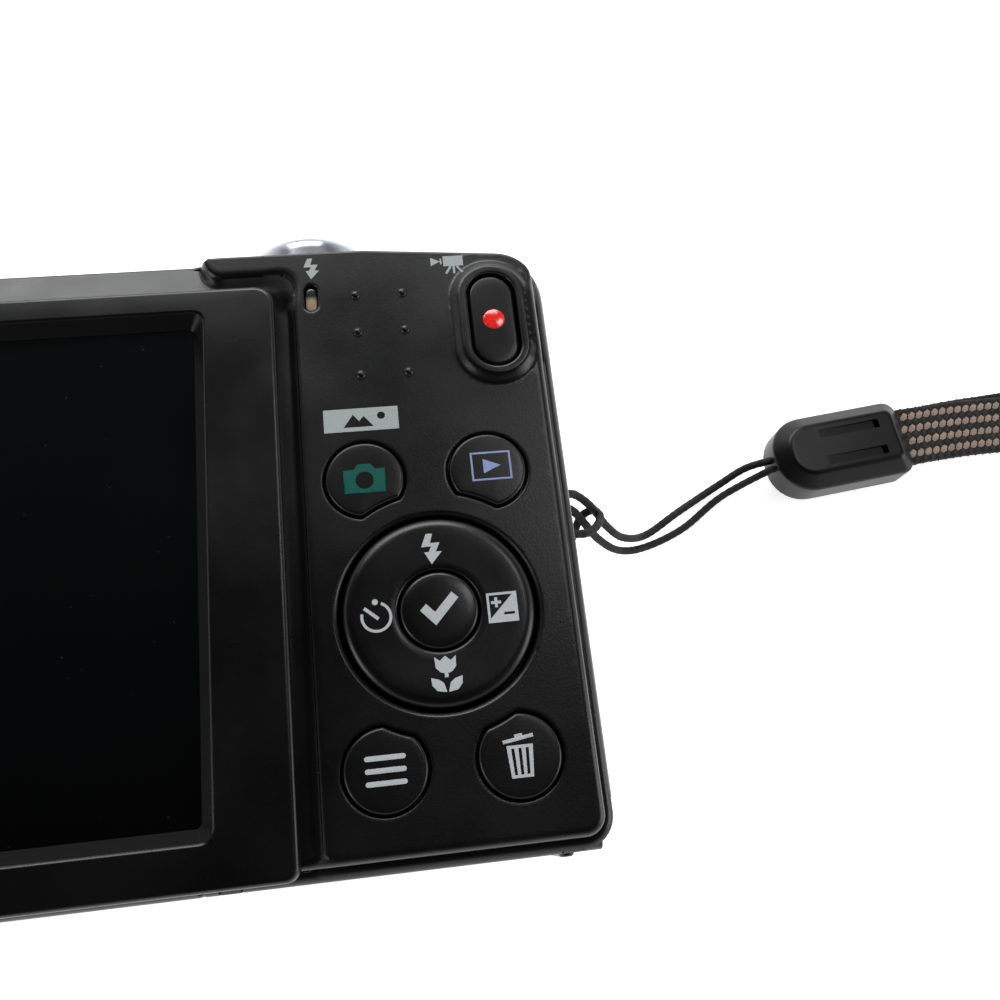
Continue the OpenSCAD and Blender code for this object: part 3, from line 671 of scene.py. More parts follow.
def make_cord():
    """Braided cord: two sets of strands that wind opposite ways make its relief."""
    path, run = smoothed(CORD_ROUTE, 0.16)
    along = headings(path)
    angles = np.arange(CORD_SIDES) * 2 * np.pi / CORD_SIDES
    across = np.array([0.0, 0.0, 1.0])
    rings = []
    for point, forward, s in zip(path, along, run):
        across = across - forward * across.dot(forward)
        across /= np.linalg.norm(across)
        up = np.cross(forward, across)
        turn = 2 * np.pi * s / CORD_LAY
        braid = np.cos(CORD_STRANDS * angles + turn) * np.cos(CORD_STRANDS * angles - turn)
        r = (CORD_R - CORD_RELIEF + CORD_RELIEF * braid)[:, None]
        rings.append(point + r * (np.cos(angles)[:, None] * across + np.sin(angles)[:, None] * up))
    cord = loft("strap_cord_braid", rings, cord_thread, smooth_angle=70.0)
    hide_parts("strap_cord")
    return cord, run[-1], path


def band_frame(path):
    """Sideways and face directions of a band that tilts along its path."""
    along = headings(path)
    side = np.cross([0.0, 0.0, 1.0], along)
    side /= np.linalg.norm(side, axis=1)[:, None]
    up = np.cross(along, side)
    tilt = np.radians(path[:, 3])[:, None]
    wide = np.cos(tilt) * side + np.sin(tilt) * up
    return wide, np.cross(along, wide)


def make_webbing():
    """Woven band with four rows of pale stitches and brown ones between them on each face."""
    path, run = smoothed(WEB_ROUTE, 0.3125)
    wide, face = band_frame(path)
    half = WEB_W / 2
    u = np.linspace(-half + 0.3, half - 0.3, 4 * WEB_WALES + 1)
    rib = 0.06 * np.cos(2 * np.pi * (u + half) / (2 * half / WEB_WALES))
    rings = []
    for i in range(len(path)):
        weave = rib * (1 if i % 4 < 2 else -1)
        edge = 0.03 * (-1) ** (i // 2)
        top = np.column_stack([u, WEB_T / 2 - 0.1 + weave])
        low = np.column_stack([u[::-1], -WEB_T / 2 + 0.1 - weave[::-1]])
        right = np.array([[half - 0.08, 0.28], [half + edge, 0.0], [half - 0.08, -0.28]])
        loop = np.vstack([top, right, low, -right])
        rings.append(path[i, :3] + loop[:, :1] * wide[i] + loop[:, 1:] * face[i])
    band = loft("strap_webbing_weave", rings, web_ground, smooth_angle=60.0)
    band.data.materials.append(web_thread)
    band.data.materials.append(web_brown)

    # Each stitch is a small slanted pad; alternate rows are half a pitch apart
    verts = []
    faces = []
    shape = [(-0.62, 0.0, 0.0), (-0.3, -0.4, 0.0), (0.3, -0.46, 0.0), (0.62, 0.0, 0.0),
             (0.3, 0.46, 0.0), (-0.3, 0.4, 0.0), (-0.28, 0.0, 0.16), (0.28, 0.0, 0.16)]
    sides = [(0, 1, 6), (1, 2, 7, 6), (2, 3, 7), (3, 4, 7), (4, 5, 6, 7), (5, 0, 6)]
    tones = []
    for row in range(STITCH_ROWS):
        pale = row % 2 == 1
        across = (row - STITCH_ROWS // 2) * STITCH_ROW_GAP
        size = 0.98 if pale else 0.66
        for k in range(int((run[-1] - 2) / STITCH_PITCH)):
            s = 1 + (k + 0.5 * (row // 2 % 2) + (0 if pale else 0.25)) * STITCH_PITCH
            for sign in (1, -1):
                start = len(verts)
                tones += [1 if pale else 2] * len(sides)
                for a, b, lift in shape:
                    at = s + a * size
                    slanted = across + b * size + 0.42 * a * sign
                    centre = [np.interp(at, run, path[:, n]) for n in range(3)]
                    n = int(np.clip(at / run[-1] * (len(path) - 1), 0, len(path) - 1))
                    raised = sign * (WEB_T / 2 - 0.08 + lift)
                    verts.append(np.array(centre) + slanted * wide[n] + raised * face[n])
                faces += [tuple(start + v for v in (f if sign > 0 else f[::-1])) for f in sides]
    stitches = mesh_piece("stitches", verts, faces, web_thread, None, 80.0)
    for polygon, tone in zip(stitches.data.polygons, tones):
        polygon.material_index = tone
    whole = join("strap_webbing_weave", [band, stitches])
    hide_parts("strap_webbing")
    return whole, run[-1], path


CAP_AT = (86.9, 10.2)
CAP_ANGLE = 6.5
CAP_SIZE = (17.4, 9.6, 6.0)


def make_cap():
    """Slider that joins the cord and the webbing, with two slots in its face."""
    half = np.array(CAP_SIZE) / 2

    def outline(i):
        radii = [4.4 - i, 1.6 - i * 0.5, 1.6 - i * 0.5, 4.4 - i]
        return rounded(-half[0] + i, half[0] - i, -half[1] + i, half[1] - i, radii, 10)

    rings = [level(outline(i), z) for i, z in
             ((1.0, 0.0), (0.5, 0.1), (0.15, 0.4), (0.0, 0.9), (0.0, 4.2), (0.05, 4.4), (0.16, 4.54),
              (0.3, 4.68), (1.42, 5.74), (1.55, 5.86), (1.7, 5.94), (1.9, 5.99), (2.15, 6.0))]
    cap = loft("strap_cap_shell", rings, cap_dark, body=None)
    # Two slots whose floors run down to a deep pocket at their right ends
    ramp = np.array([(-2.9, 5.95), (4.5, 5.72), (4.5, 4.8), (5.1, 4.8), (5.1, 7.0), (-2.9, 7.0)])
    for middle_y in (-1.75, 1.75):
        sides = [np.column_stack([ramp[:, 0], np.full(len(ramp), middle_y + half_w), ramp[:, 1]])
                 for half_w in (-0.55, 0.55)]
        cut_with(cap, loft("slot", sides, cap_dark, None))
    turn = Matrix.Translation(Vector((CAP_AT[0], CAP_AT[1], 0)) * MM) @ Matrix.Rotation(
        math.radians(CAP_ANGLE), 4, "Z")
    cap.data.transform(turn)
    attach(cap, "camera_body")
    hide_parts("strap_cap")
    return cap


strap_cord, cord_length, cord_path = make_cord()
webbing, web_length, web_path = make_webbing()
strap_cap = make_cap()


# ---- Case ----

(X_LEFT, Y_BOT, _), (_, Y_TOP, SPLIT_Z) = limits("front_cover")
FACE_Z, PANEL_Z = 3.0, 28.0
WALL = 1.6
REAR_FACE_T = 1.4
FALL_X = 30.0
FALL_ANGLE = 4.8
VALLEY_Z = 27.2
# Corners of the outline: centre, radius, and the angles where its arc starts and ends
CORNERS = [(-45.0, -29.4, 3.0, 180, 270), (45.0, -29.4, 3.0, 270, 360),
           (43.0, 21.5, 5.0, 0, 90 - FALL_ANGLE), (FALL_X, Y_TOP, 0.0, 90, 90), (-43.0, 22.6, 5.0, 90, 180)]


def body_outline(inset, arc=10, spacing=2.5):
    """Loop round the body, moved inwards; every inset gives the same number of points."""
    def corner(x, y, r, start, end, i):
        if r == 0:
            return np.array([[x, y - i]])
        a = np.radians(np.linspace(start, end, arc))
        return np.column_stack([x + (r - i) * np.cos(a), y + (r - i) * np.sin(a)])

    arcs = [corner(*c, inset) for c in CORNERS]
    plain = [corner(*c, 0) for c in CORNERS]
    loop = []
    for k in range(len(arcs)):
        loop.append(arcs[k])
        n = (k + 1) % len(arcs)
        parts = max(2, round(np.linalg.norm(plain[n][0] - plain[k][-1]) / spacing))
        share = (np.arange(1, parts) / parts)[:, None]
        loop.append(arcs[k][-1] * (1 - share) + arcs[n][0] * share)
    return np.vstack(loop)


# Fine copy of the outline, to place things along it by their run from the lower left corner
RIM = body_outline(0, 60, 0.25)
RIM = np.vstack([RIM, RIM[:1]])
RIM_RUN = np.concatenate([[0], np.cumsum(np.linalg.norm(np.diff(RIM, axis=0), axis=1))])
RIM_OUT = np.gradient(RIM, axis=0)[:, ::-1] * [1, -1]
RIM_OUT /= np.linalg.norm(RIM_OUT, axis=1)[:, None]


def rim_run(x, y):
    """Run along the outline of its point nearest to (x, y)."""
    return RIM_RUN[np.argmin(np.hypot(RIM[:, 0] - x, RIM[:, 1] - y))]


def rim_surface(points, depth):
    """Points given as run and level, put on the outline and moved inwards by depth."""
    run = points[:, 0]
    x, y = (np.interp(run, RIM_RUN, RIM[:, k]) for k in (0, 1))
    nx, ny = (np.interp(run, RIM_RUN, RIM_OUT[:, k]) for k in (0, 1))
    return np.column_stack([x - nx * depth, y - ny * depth, points[:, 1]])


def subdivided(loop, parts):
    """Loop whose sides are each split into the given number of parts."""
    points = []
    for a, b, count in zip(loop, np.roll(loop, -1, axis=0), parts):
        points += [a + (b - a) * k / count for k in range(count)]
    return points


def rim_plate(name, run, z, holes, material, body, radii, edge, thick):
    """Panel that follows the body's outline between two runs and two levels."""
    loop = rounded(*run, *z, radii, 6)
    sides = np.linalg.norm(np.roll(loop, -1, axis=0) - loop, axis=1)
    parts = np.maximum(1, np.round(sides / 1.2)).astype(int)
    dense = subdivided(loop, parts)
    points = [np.array([u, v]) for u in np.arange(run[0] + 0.5, run[1], 0.8)
              for v in np.linspace(z[0] + 0.6, z[1] - 0.6, 7)]
    for inset in (0.06, 0.14, edge, edge + 0.15):
        inner = rounded(run[0] + inset, run[1] - inset, z[0] + inset, z[1] - inset,
                        [max(r - inset, 0.05) for r in radii], 6)
        points += subdivided(inner, parts)

    def front(p):
        d = -round_rect_distance(p[:, 0], p[:, 1], *run, *z, radii)
        return rim_surface(p, fillet(d, edge))

    def back(p):
        return rim_surface(p, np.full(len(p), thick))

    return plate(name, [np.array(dense)] + holes, points, front, back, material, 0.04, body)


# Centre of the multi selector; the places of the other controls are measured from it
PAD = middle("ok_button")[:2]
MODE_AT = PAD + [-5.75, 12.95]
PLAYBACK_AT = PAD + [5.75, 12.95]
MENU_AT = PAD + [-5.75, -13.3]
DELETE_AT = PAD + [5.75, -13.3]
MOVIE_AT = PAD + [8.05, 28.6]
READY_AT = PAD + [-9.7, 32.4]
BUTTON_R, GAP = 3.6, 0.2
SCALLOP_R = 11.1
SELECTOR_R = 8.65
SELECTOR_HOLE_R = 8.93
# Hole and raised lip of the movie button, as width and height
MOVIE_HOLE = (4.9, 10.3)
MOVIE_LIP = (6.2, 11.6)
OK_R = 3.55
PANEL_X = 22.9
TONGUE_X, TONGUE_Y = 14.3, 24.6
BEZEL_X, BEZEL_Y, _ = zip(*limits("screen_bezel"))
BEZEL_RADII = [3.5, 1.2, 2.0, 3.5]
SCREEN = middle("screen_window")[:2]
# Half sizes of the part of the window that shows, and of the whole pane
WINDOW = (28.6, 23.1)
PANE = (29.6, 24.1)
LENS_AT = (*middle("lens_ring")[:2], 0)
SHUTTER_AT = middle("shutter_button")
POWER_AT = middle("power_button")
# Square opening round the tripod socket, as limits along X and Z
TRIPOD_X, TRIPOD_Z = (-7.9, 0.9), (5.4, 14.2)
# Screws: the axis each runs along and the centre of its head; every second one is in the rear cover
SCREWS = [("y", (-42.0, Y_BOT, 11.0)), ("y", (9.0, Y_BOT, 20.0)), ("x", (X_LEFT, 18.0, 11.0)),
          ("x", (X_LEFT, -24.0, 20.0))]


def round_screen(half_w, half_h, radius, count=8):
    """Rounded rectangle of given half sizes about the screen's centre."""
    return rounded(SCREEN[0] - half_w, SCREEN[0] + half_w, SCREEN[1] - half_h, SCREEN[1] + half_h,
                   [radius] * 4, count)


def scalloped(at, r, cut_r, count=120):
    """Circle round a point with its side towards the multi selector cut by an arc."""
    a = np.arange(count) * 2 * np.pi / count
    u = np.column_stack([np.cos(a), np.sin(a)])
    away = at - PAD
    b = u @ away
    c = away @ away - cut_r ** 2
    root = b ** 2 - c
    reach = np.where((root > 0) & (b < 0), -b - np.sqrt(np.maximum(root, 0)), r)
    return at + u * np.minimum(reach, r)[:, None]


def scallop_distance(x, y, at, r, cut_r):
    """Signed distance to that shape, negative inside it."""
    return np.maximum(np.hypot(x - at[0], y - at[1]) - r, cut_r - np.hypot(x - PAD[0], y - PAD[1]))


def panel_depth(x, y):
    """How far a point lies inside the raised panel and its tongue; negative outside."""
    column = x - PANEL_X
    tongue = -round_rect_distance(x, y, TONGUE_X, 60.0, TONGUE_Y, 40.0, [1.9] * 4)
    blend = 3.2
    share = np.clip(0.5 + 0.5 * (column - tongue) / blend, 0, 1)
    return tongue * (1 - share) + column * share + blend / 2 * share * (1 - share)


def low_level(x, y):
    """Level beside the panel: the seat of the bezel, and the slope above its top edge."""
    strip_z = VALLEY_Z - np.clip(y - BEZEL_Y[1], 0, None) * 0.26
    near = smooth_step((x - 13.4) / 3.5) * smooth_step((y - 20.5) / 2.5)
    return strip_z + (27.58 - strip_z) * near


def panel_level(p):
    """Level of the rear cover's outer face."""
    x, y = p[:, 0], p[:, 1]
    low = low_level(x, y)
    depth = panel_depth(x, y)
    top = PANEL_Z - fillet(depth, 0.7) * 0.4
    slope = np.interp(y, [20.0, 24.0], [0.9, 1.5]) * np.interp(x, [13.0, 16.5], [0.35, 1.0])
    share = smooth_step((depth + slope) / (slope + 0.15))
    z = low + (top - low) * share
    rise = pill_distance(x, y, MOVIE_AT, *MOVIE_LIP)
    z += 0.7 * (1 - smooth_step(rise / 1.2))
    ring = np.hypot(x - PAD[0], y - PAD[1]) - SELECTOR_HOLE_R
    z -= 0.3 * np.clip(1 - ring / 0.45, 0, 1)
    holes = [scallop_distance(x, y, at, BUTTON_R + GAP, SCALLOP_R)
             for at in (MODE_AT, PLAYBACK_AT, MENU_AT, DELETE_AT)]
    holes += [ring, pill_distance(x, y, MOVIE_AT, *MOVIE_HOLE), pill_distance(x, y, READY_AT, 1.3, 2.9)]
    for hole in holes:
        z -= fillet(np.maximum(hole, 0), 0.22)
    return z


def rear_loop(inset):
    """Loop round the rear cover, whose rim is half as wide along the top edge."""
    edge = body_outline(0, 10, 0.9)
    out = edge - body_outline(1, 10, 0.9)
    return edge - out * inset * (1 - 0.5 * smooth_step(out[:, 1:] * 1.5))


def make_rear_cover():
    """Rear half of the case: the panel with its holes, and the rim that meets the front half."""
    outer = rear_loop(2.0)
    loops = [outer, round_screen(*PANE, 0.3), circle(*PAD, SELECTOR_HOLE_R, 160),
             pill(*MOVIE_AT, *MOVIE_HOLE, 40), pill(*READY_AT, 1.3, 2.9, 16)]
    points = [circle(*PAD, SELECTOR_HOLE_R + d, 160)
              for d in (0.05, 0.11, 0.22, 0.34, 0.44, 0.5, 0.7, 1.0)]
    # Rings over the movie button's lip, left out where they would crowd the cover's edge
    lip = np.vstack([pill(*MOVIE_AT, MOVIE_HOLE[0] + 2 * d, MOVIE_HOLE[1] + 2 * d, 40)
                     for d in (0.05, 0.11, 0.22, 0.4, 0.58, 0.7, 0.85, 1.0, 1.2, 1.4, 1.6, 1.75,
                               1.9, 2.2, 2.8)])
    points.append(lip[lip[:, 0] < 45.5])
    points += [pill(*READY_AT, 1.3 + 2 * d, 2.9 + 2 * d, 16) for d in (0.05, 0.12, 0.22, 0.4)]
    for at in (MODE_AT, PLAYBACK_AT, MENU_AT, DELETE_AT):
        loops.append(scalloped(at, BUTTON_R + GAP, SCALLOP_R))
        points += [scalloped(at, BUTTON_R + GAP + d, SCALLOP_R - d) for d in (0.05, 0.11, 0.22, 0.4)]
    # Lines that follow the panel's left edge, and finer points over the tongue and its corner
    for d in (-1.0, -0.8, -0.6, -0.45, -0.3, -0.15, 0, 0.1, 0.2, 0.35, 0.5, 0.7, 1.0):
        y = np.arange(-30.0, 20.5, 0.5)
        points.append(np.column_stack([np.full(len(y), PANEL_X + d), y]))
    points += [rear_loop(2.0 + d) for d in (0.15, 0.4)]
    # This ring is left out beside the movie button, whose lip comes close to the cover's edge
    inner = rear_loop(2.9)
    points.append(inner[(inner[:, 0] < 44.5) | (inner[:, 1] < 8.0)])
    points.append(grid(11.5, 27.0, 20.5, 26.6, 0.16))
    points.append(grid(-46.0, 46.0, -30.0, 25.0, 1.5))

    def front(p):
        return level(p, panel_level(p))

    def back(p):
        return level(p, panel_level(p) - REAR_FACE_T)

    top = plate("rear_cover_face", loops, np.vstack(points), front, back, case_black, 0.045,
                open_edge=True)
    # Rim: rounded over into a fine seam, then out to the side walls and back inside
    edge_z = panel_level(outer)
    low_z = 24.2
    profile = [(2.0, 28.0), (1.8, 27.98), (1.55, 27.9), (1.35, 27.72), (1.22, 27.45), (1.18, 27.1),
               (1.18, 26.75), (1.35, 26.55), (1.3, 26.35), (0.85, 26.4), (0.5, 26.25), (0.22, 25.9),
               (0.05, 25.4), (0.0, 24.9)]
    rings = [level(rear_loop(i), low_z + (z - low_z) / (PANEL_Z - low_z) * (edge_z - low_z))
             for i, z in profile]
    rings += [level(body_outline(i, 10, 0.9), z) for i, z in
              ((0.0, low_z), (0.0, 20.0), (0.0, SPLIT_Z + 0.2), (0.12, SPLIT_Z + 0.02),
               (WALL, SPLIT_Z + 0.02), (WALL, 20.0), (WALL, low_z))]
    rings.append(level(outer, edge_z - REAR_FACE_T))
    rim = rim_skin(rings, case_black)
    # A bronze line shows along the upper and lower edges of the rim
    top.data.materials.append(bronze)
    for polygon in rim.data.polygons:
        _, y, z = polygon.center / MM
        if (24.6 < z < 26.2 and y > 24.5) or (24.6 < z < 25.6 and y < -31.6):
            polygon.material_index = 1
    cover = join("rear_cover_shell", [top, rim])
    turn_out(cover)
    cut_away(cover, side_boxes())
    for axis, at in SCREWS[1::2]:
        cut_with(cover, screw_cutter(axis, at))
    bumps = [bump_dot(PAD + [x, y], PANEL_Z) for x in (-5.37, -0.76) for y in (32.4, 28.3, 23.7)]
    cover = join("rear_cover_shell", [cover] + bumps)
    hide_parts("rear_cover")


def bump_dot(at, z, r=0.5, height=0.3, sunk=0.05):
    """Small grip bump whose foot lies a little below the level."""
    rings = [level(circle(*at, r * math.cos(a), 20), z - sunk + (height + sunk) * math.sin(a))
             for a in np.radians([0, 15, 30, 45, 60, 75, 88])]
    return loft("bump", rings, case_black, None, smooth_angle=80.0)


def side_boxes():
    """Limits of the openings in the side walls: top plate, door, eyelet and connector cover."""
    low, high = limits("strap_eyelet")
    return [((-42.2, 43.7), (20.0, 30.0), (7.8, 23.7)),
            ((12.4, 50.0), (-40.0, -28.2), (4.4, 25.9)),
            ((low[0], 50.0), (low[1], high[1]), (low[2], high[2])),
            ((-50.0, -46.0), (-12.2, 5.0), (10.8, 23.2))]


def make_front_cover():
    """Front half of the case, with its grip and the holes for the lens, flash, lamp and sound."""
    inset = 2.2
    lens = LENS_AT[:2]
    outer = body_outline(inset, 10, 2.0)
    loops = [outer, circle(*lens, 20.2, 120), rounded(1.5, 11.5, 18.8, 24.2, [0.5] * 4, 6),
             circle(19.5, 19.5, 1.65, 32)]
    loops += [circle(-38 + step, 20, 0.3, 16) for step in (-1, 0, 1)]
    points = [circle(*lens, 20.2 + d, 120) for d in (0.1, 0.25, 0.5)]
    points.append(grid(-45.0, 46.0, -29.0, 25.0, 2.0))

    def front(p):
        return level(p, FACE_Z)

    def back(p):
        return level(p, FACE_Z + WALL)

    face = plate("front_cover_face", loops, np.vstack(points), front, back, front_black, 0.09,
                 open_edge=True)
    profile = [(inset, FACE_Z)]
    profile += [(2.1 - 2.1 * math.sin(a), FACE_Z + 1.9 * (1 - math.cos(a)))
                for a in np.radians(np.linspace(0, 90, 9))]
    profile += [(0.0, 9.0), (0.0, SPLIT_Z - 0.2), (0.12, SPLIT_Z - 0.02), (WALL, SPLIT_Z - 0.02),
                (WALL, 9.0), (WALL, FACE_Z + WALL + 0.4), (inset, FACE_Z + WALL)]
    rings = [level(body_outline(i, 10, 2.0), z) for i, z in profile]
    rim = rim_skin(rings, front_black)
    cover = join("front_cover_shell", [face, rim])
    turn_out(cover)
    cut_away(cover, side_boxes() + [(TRIPOD_X, (-40.0, -26.0), TRIPOD_Z)])
    for axis, at in SCREWS[::2]:
        cut_with(cover, screw_cutter(axis, at))

    def grip_outline(i):
        return rounded(27 + i, 46 - i, -30 + i, 23 - i, [4 - i * 0.8, 2.5 - i * 0.8, 4 - i * 0.8, 8 - i])

    grip = slab("grip", grip_outline, 0.0, FACE_Z + 0.2, front_black, None, 1.5, 0.02, steps=7)
    ribs = [slab("rib", box_outline(x - 0.45, x + 0.45, -20, 12, 0.44), 0.0, 0.4, rubber, None, 0.2, 0.02)
            for x in 31.5 + 2.6 * np.arange(5)]
    cover = join("front_cover_shell", [cover, grip] + ribs)
    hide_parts("front_cover")


def screw_cutter(axis, at):
    outer = Y_BOT if axis == "y" else X_LEFT
    profile = lifted(outer, [(ON_AXIS, -1), (1.4, -1), (1.4, 0.75), (ON_AXIS, 0.75)])
    return revolve("hole", profile, at, case_black, axis, 32, None)


def make_screws():
    """Small cross-head screws, set a little below the surface."""
    pieces = []
    for axis, at in SCREWS:
        outer = Y_BOT if axis == "y" else X_LEFT
        profile = lifted(outer, [(ON_AXIS, 0.25), (0.9, 0.25), (1.18, 0.32), (1.3, 0.45), (1.3, 0.7),
                                 (0.8, 0.75), (0.8, 3.6), (ON_AXIS, 3.6)])
        screw = revolve("screw", profile, at, steel, axis, 32, None)
        x, y, z = at
        deep = (outer - 1.0, outer + 0.55)
        for half_w, half_h in ((0.75, 0.14), (0.14, 0.75)):
            high = (z - half_h, z + half_h)
            if axis == "y":
                cut_away(screw, [((x - half_w, x + half_w), deep, high)])
            else:
                cut_away(screw, [(deep, (y - half_w, y + half_w), high)])
        pieces.append(screw)
    screws = join("case_screw_heads", pieces)
    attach(screws, "camera_body")
    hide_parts("case_screws")


def make_tripod_surround():
    """Flat ring of the base wall that closes the square opening round the tripod socket."""
    x, _, z = middle("tripod_socket")
    loops = [rounded(*TRIPOD_X, *TRIPOD_Z, [0.05] * 4, 3), circle(x, z, 4.45)]

    def front(p):
        return np.column_stack([p[:, 0], np.full(len(p), Y_BOT), p[:, 1]])

    def back(p):
        return np.column_stack([p[:, 0], np.full(len(p), Y_BOT + WALL), p[:, 1]])

    plate("tripod_surround", loops, (), front, back, front_black)


def make_top_cover():
    """Metal top plate with holes for the shutter and power buttons and a grille for the speaker."""
    low, high = limits("top_cover")
    ends = (rim_run(high[0], 26.4), rim_run(low[0], Y_TOP))
    shutter, power, speaker = (rim_run(x, Y_TOP) for x in (SHUTTER_AT[0], POWER_AT[0], -31.0))
    holes = [circle(shutter, SHUTTER_AT[2], 5.5, 72), circle(power, POWER_AT[2], 3.15, 48)]
    holes += [circle(speaker + 1.4 * column, 15.5 + 1.4 * row, 0.35, 14)
              for row in (-1, 0, 1) for column in (-2, -1, 0, 1, 2)]
    cover = rim_plate("top_cover_plate", ends, (low[2], high[2]), holes, champagne, "camera_body",
                      [1.6] * 4, 0.35, 1.5)
    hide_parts("top_cover")


def make_battery_door():
    """Door round the lower right corner, with hinge knuckle, finger ribs and a foot."""
    low, high = limits("battery_door")
    ends = (rim_run(low[0], Y_BOT), rim_run(high[0], high[1]))
    hinge_z = 24.6
    door = rim_plate("battery_door_panel", ends, (low[2], hinge_z), [], case_black, None,
                     (0.8, 0.5, 0.5, 0.8), 0.3, WALL)
    # Both the door and its knuckle leave room for the two hinge lugs of the bracket
    cut_away(door, [((x - 1.0, x + 1.0), (-40.0, -30.0), (23.2, 26.0)) for x in (15, 44)])
    knuckle = revolve("knuckle", [(0.6, 12.8), (0.95, 12.8), (1.0, 12.9), (1.0, 46.5), (0.95, 46.6),
                                  (0.6, 46.6)], (0, -31.4, hinge_z), case_black, "x", 24, None)
    cut_away(knuckle, [((x - 1.0, x + 1.0), (-40.0, -30.0), (23.0, 26.2)) for x in (15, 44)])
    raised = [slab("foot", box_outline(43.2, 44.6, 8, 22, 0.69), -Y_BOT - 0.2, -Y_BOT + 0.4, case_black,
                   None, 0.02, 0.3)]
    raised += [slab("rib", box_outline(x - 0.35, x + 0.35, 9.5, 20, 0.34, 5), -Y_BOT - 0.3, -Y_BOT + 0.12,
                    case_black, None, 0.02, 0.1) for x in 18.6 + 1.3 * np.arange(5)]
    for piece in raised:
        piece.data.transform(STAND_UP)
    door = join("battery_door_panel", [door, knuckle] + raised)
    turn_out(door)
    shade(door, 35.0)
    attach(door, "battery_door")
    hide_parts("battery_door")


def make_connector_cover():
    """Rubber flap in the left wall, with the tube that its hinge pin runs through."""
    low, high = limits("connector_cover")
    hinge_y = -11.2
    ends = (rim_run(X_LEFT, high[1]), rim_run(X_LEFT, hinge_y))
    cover = rim_plate("connector_cover_flap", ends, (low[2], high[2]), [], rubber, None,
                      (0.6, 1.2, 1.2, 0.6), 0.3, WALL)
    hinge = revolve("hinge", [(0.45, 12.2), (0.75, 12.2), (0.8, 12.3), (0.8, 21.7), (0.75, 21.8),
                              (0.45, 21.8)], (-47.2, hinge_y, 0), rubber, "z", 24, None)
    cover = join("connector_cover_flap", [cover, hinge])
    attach(cover, "connector_cover")
    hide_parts("connector_cover")


make_rear_cover()
make_front_cover()
make_screws()
make_tripod_surround()
make_top_cover()
make_battery_door()
make_connector_cover()


# ---- Screen ----

def make_bezel():
    """Raised frame: a flat face with a rounded outer edge and a slope down to the window."""
    half_w, half_h = WINDOW
    # Inset from the outer edge, or growth from the window's edge, with the level of each ring
    outside = [(0.0, 27.0), (0.0, 28.2), (0.04, 28.45), (0.14, 28.63), (0.3, 28.75), (0.55, 28.8)]
    slope = [(1.45, 1.45, 28.8), (1.22, 1.3, 28.76), (1.08, 1.15, 28.62), (0.08, 0.1, 27.55),
             (0.0, 0.0, 27.45), (0.0, 0.0, 27.0)]
    rings = []
    for i, z in outside:
        radii = [max(r - i, 0.2) for r in BEZEL_RADII]
        rings.append(level(rounded(BEZEL_X[0] + i, BEZEL_X[1] - i, BEZEL_Y[0] + i, BEZEL_Y[1] - i,
                                   radii, 10), z))
    for grow_x, grow_y, z in slope:
        radius = 0.45 + 0.6 * grow_x
        rings.append(level(round_screen(half_w + grow_x, half_h + grow_y, radius, 10), z))
    bezel = loft("screen_bezel_frame", rings, bezel_black, closed=True)
    # The slope round the window is duller than the face
    bezel.data.materials.append(bezel_dull)
    for polygon in bezel.data.polygons:
        x, y, _ = polygon.center / MM
        if abs(x - SCREEN[0]) < half_w + 1.1 and abs(y - SCREEN[1]) < half_h + 1.16:
            polygon.material_index = 1
    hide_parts("screen_bezel")


def make_window():
    def outline(i):
        return round_screen(PANE[0] - i, PANE[1] - i, 0.3, 4)

    glass = slab("screen_window_glass", outline, 26.3, 27.4, window_glass, low_r=0.05, high_r=0.05)
    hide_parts("screen_window")


make_bezel()
make_window()


# ---- Buttons ----

def flat_top(z, centre, r, dome):
    """Function for the level of a button's face, which stands dome higher at its centre."""
    def surface(x, y):
        return z + dome * (1 - np.clip(np.hypot(x - centre[0], y - centre[1]) / r, 0, 1) ** 2)
    return surface


KEY_TOP = PANEL_Z + 0.3
KEY_DOME = 0.06
# Foot of the button stems, and the flange that holds each button under the cover
STEM_Z = 25.5
FLANGE_Z = (26.1, 26.5)


def make_key(name, at, body):
    """Key cap with a flange that holds it under the cover."""
    def outline(i):
        return scalloped(at, BUTTON_R - i, SCALLOP_R + 0.15 + i)

    key = slab(name + "_cap", outline, STEM_Z, KEY_TOP, button_black, None, 0.05, 0.32, KEY_DOME, 7)

    def flange_outline(i):
        return scalloped(at, BUTTON_R + 0.7 - i, SCALLOP_R - 0.5 + i)

    flange = slab("flange", flange_outline, *FLANGE_Z, button_black, None, 0.05, 0.05)
    key = join(name + "_cap", [key, flange])
    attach(key, body)
    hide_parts(name)


SELECTOR_TOP = PANEL_Z + 0.4
# Radius and level across the selector's face, from its rounded rim to its centre hole
SELECTOR_FACE = [(SELECTOR_R - 1.1 + 1.1 * math.cos(a), SELECTOR_TOP - 0.75 + 0.75 * math.sin(a))
                 for a in np.radians(np.linspace(10, 90, 9))]
SELECTOR_FACE += lifted(SELECTOR_TOP, [(6.8, -0.02), (6.0, -0.05), (5.2, -0.08), (4.5, -0.09),
                                       (OK_R + 0.47, -0.1), (OK_R + 0.29, -0.16), (OK_R + 0.17, -0.32)])


def selector_level(x, y):
    radii, levels = np.array(SELECTOR_FACE[::-1]).T
    return np.interp(np.hypot(x - PAD[0], y - PAD[1]), radii, levels)


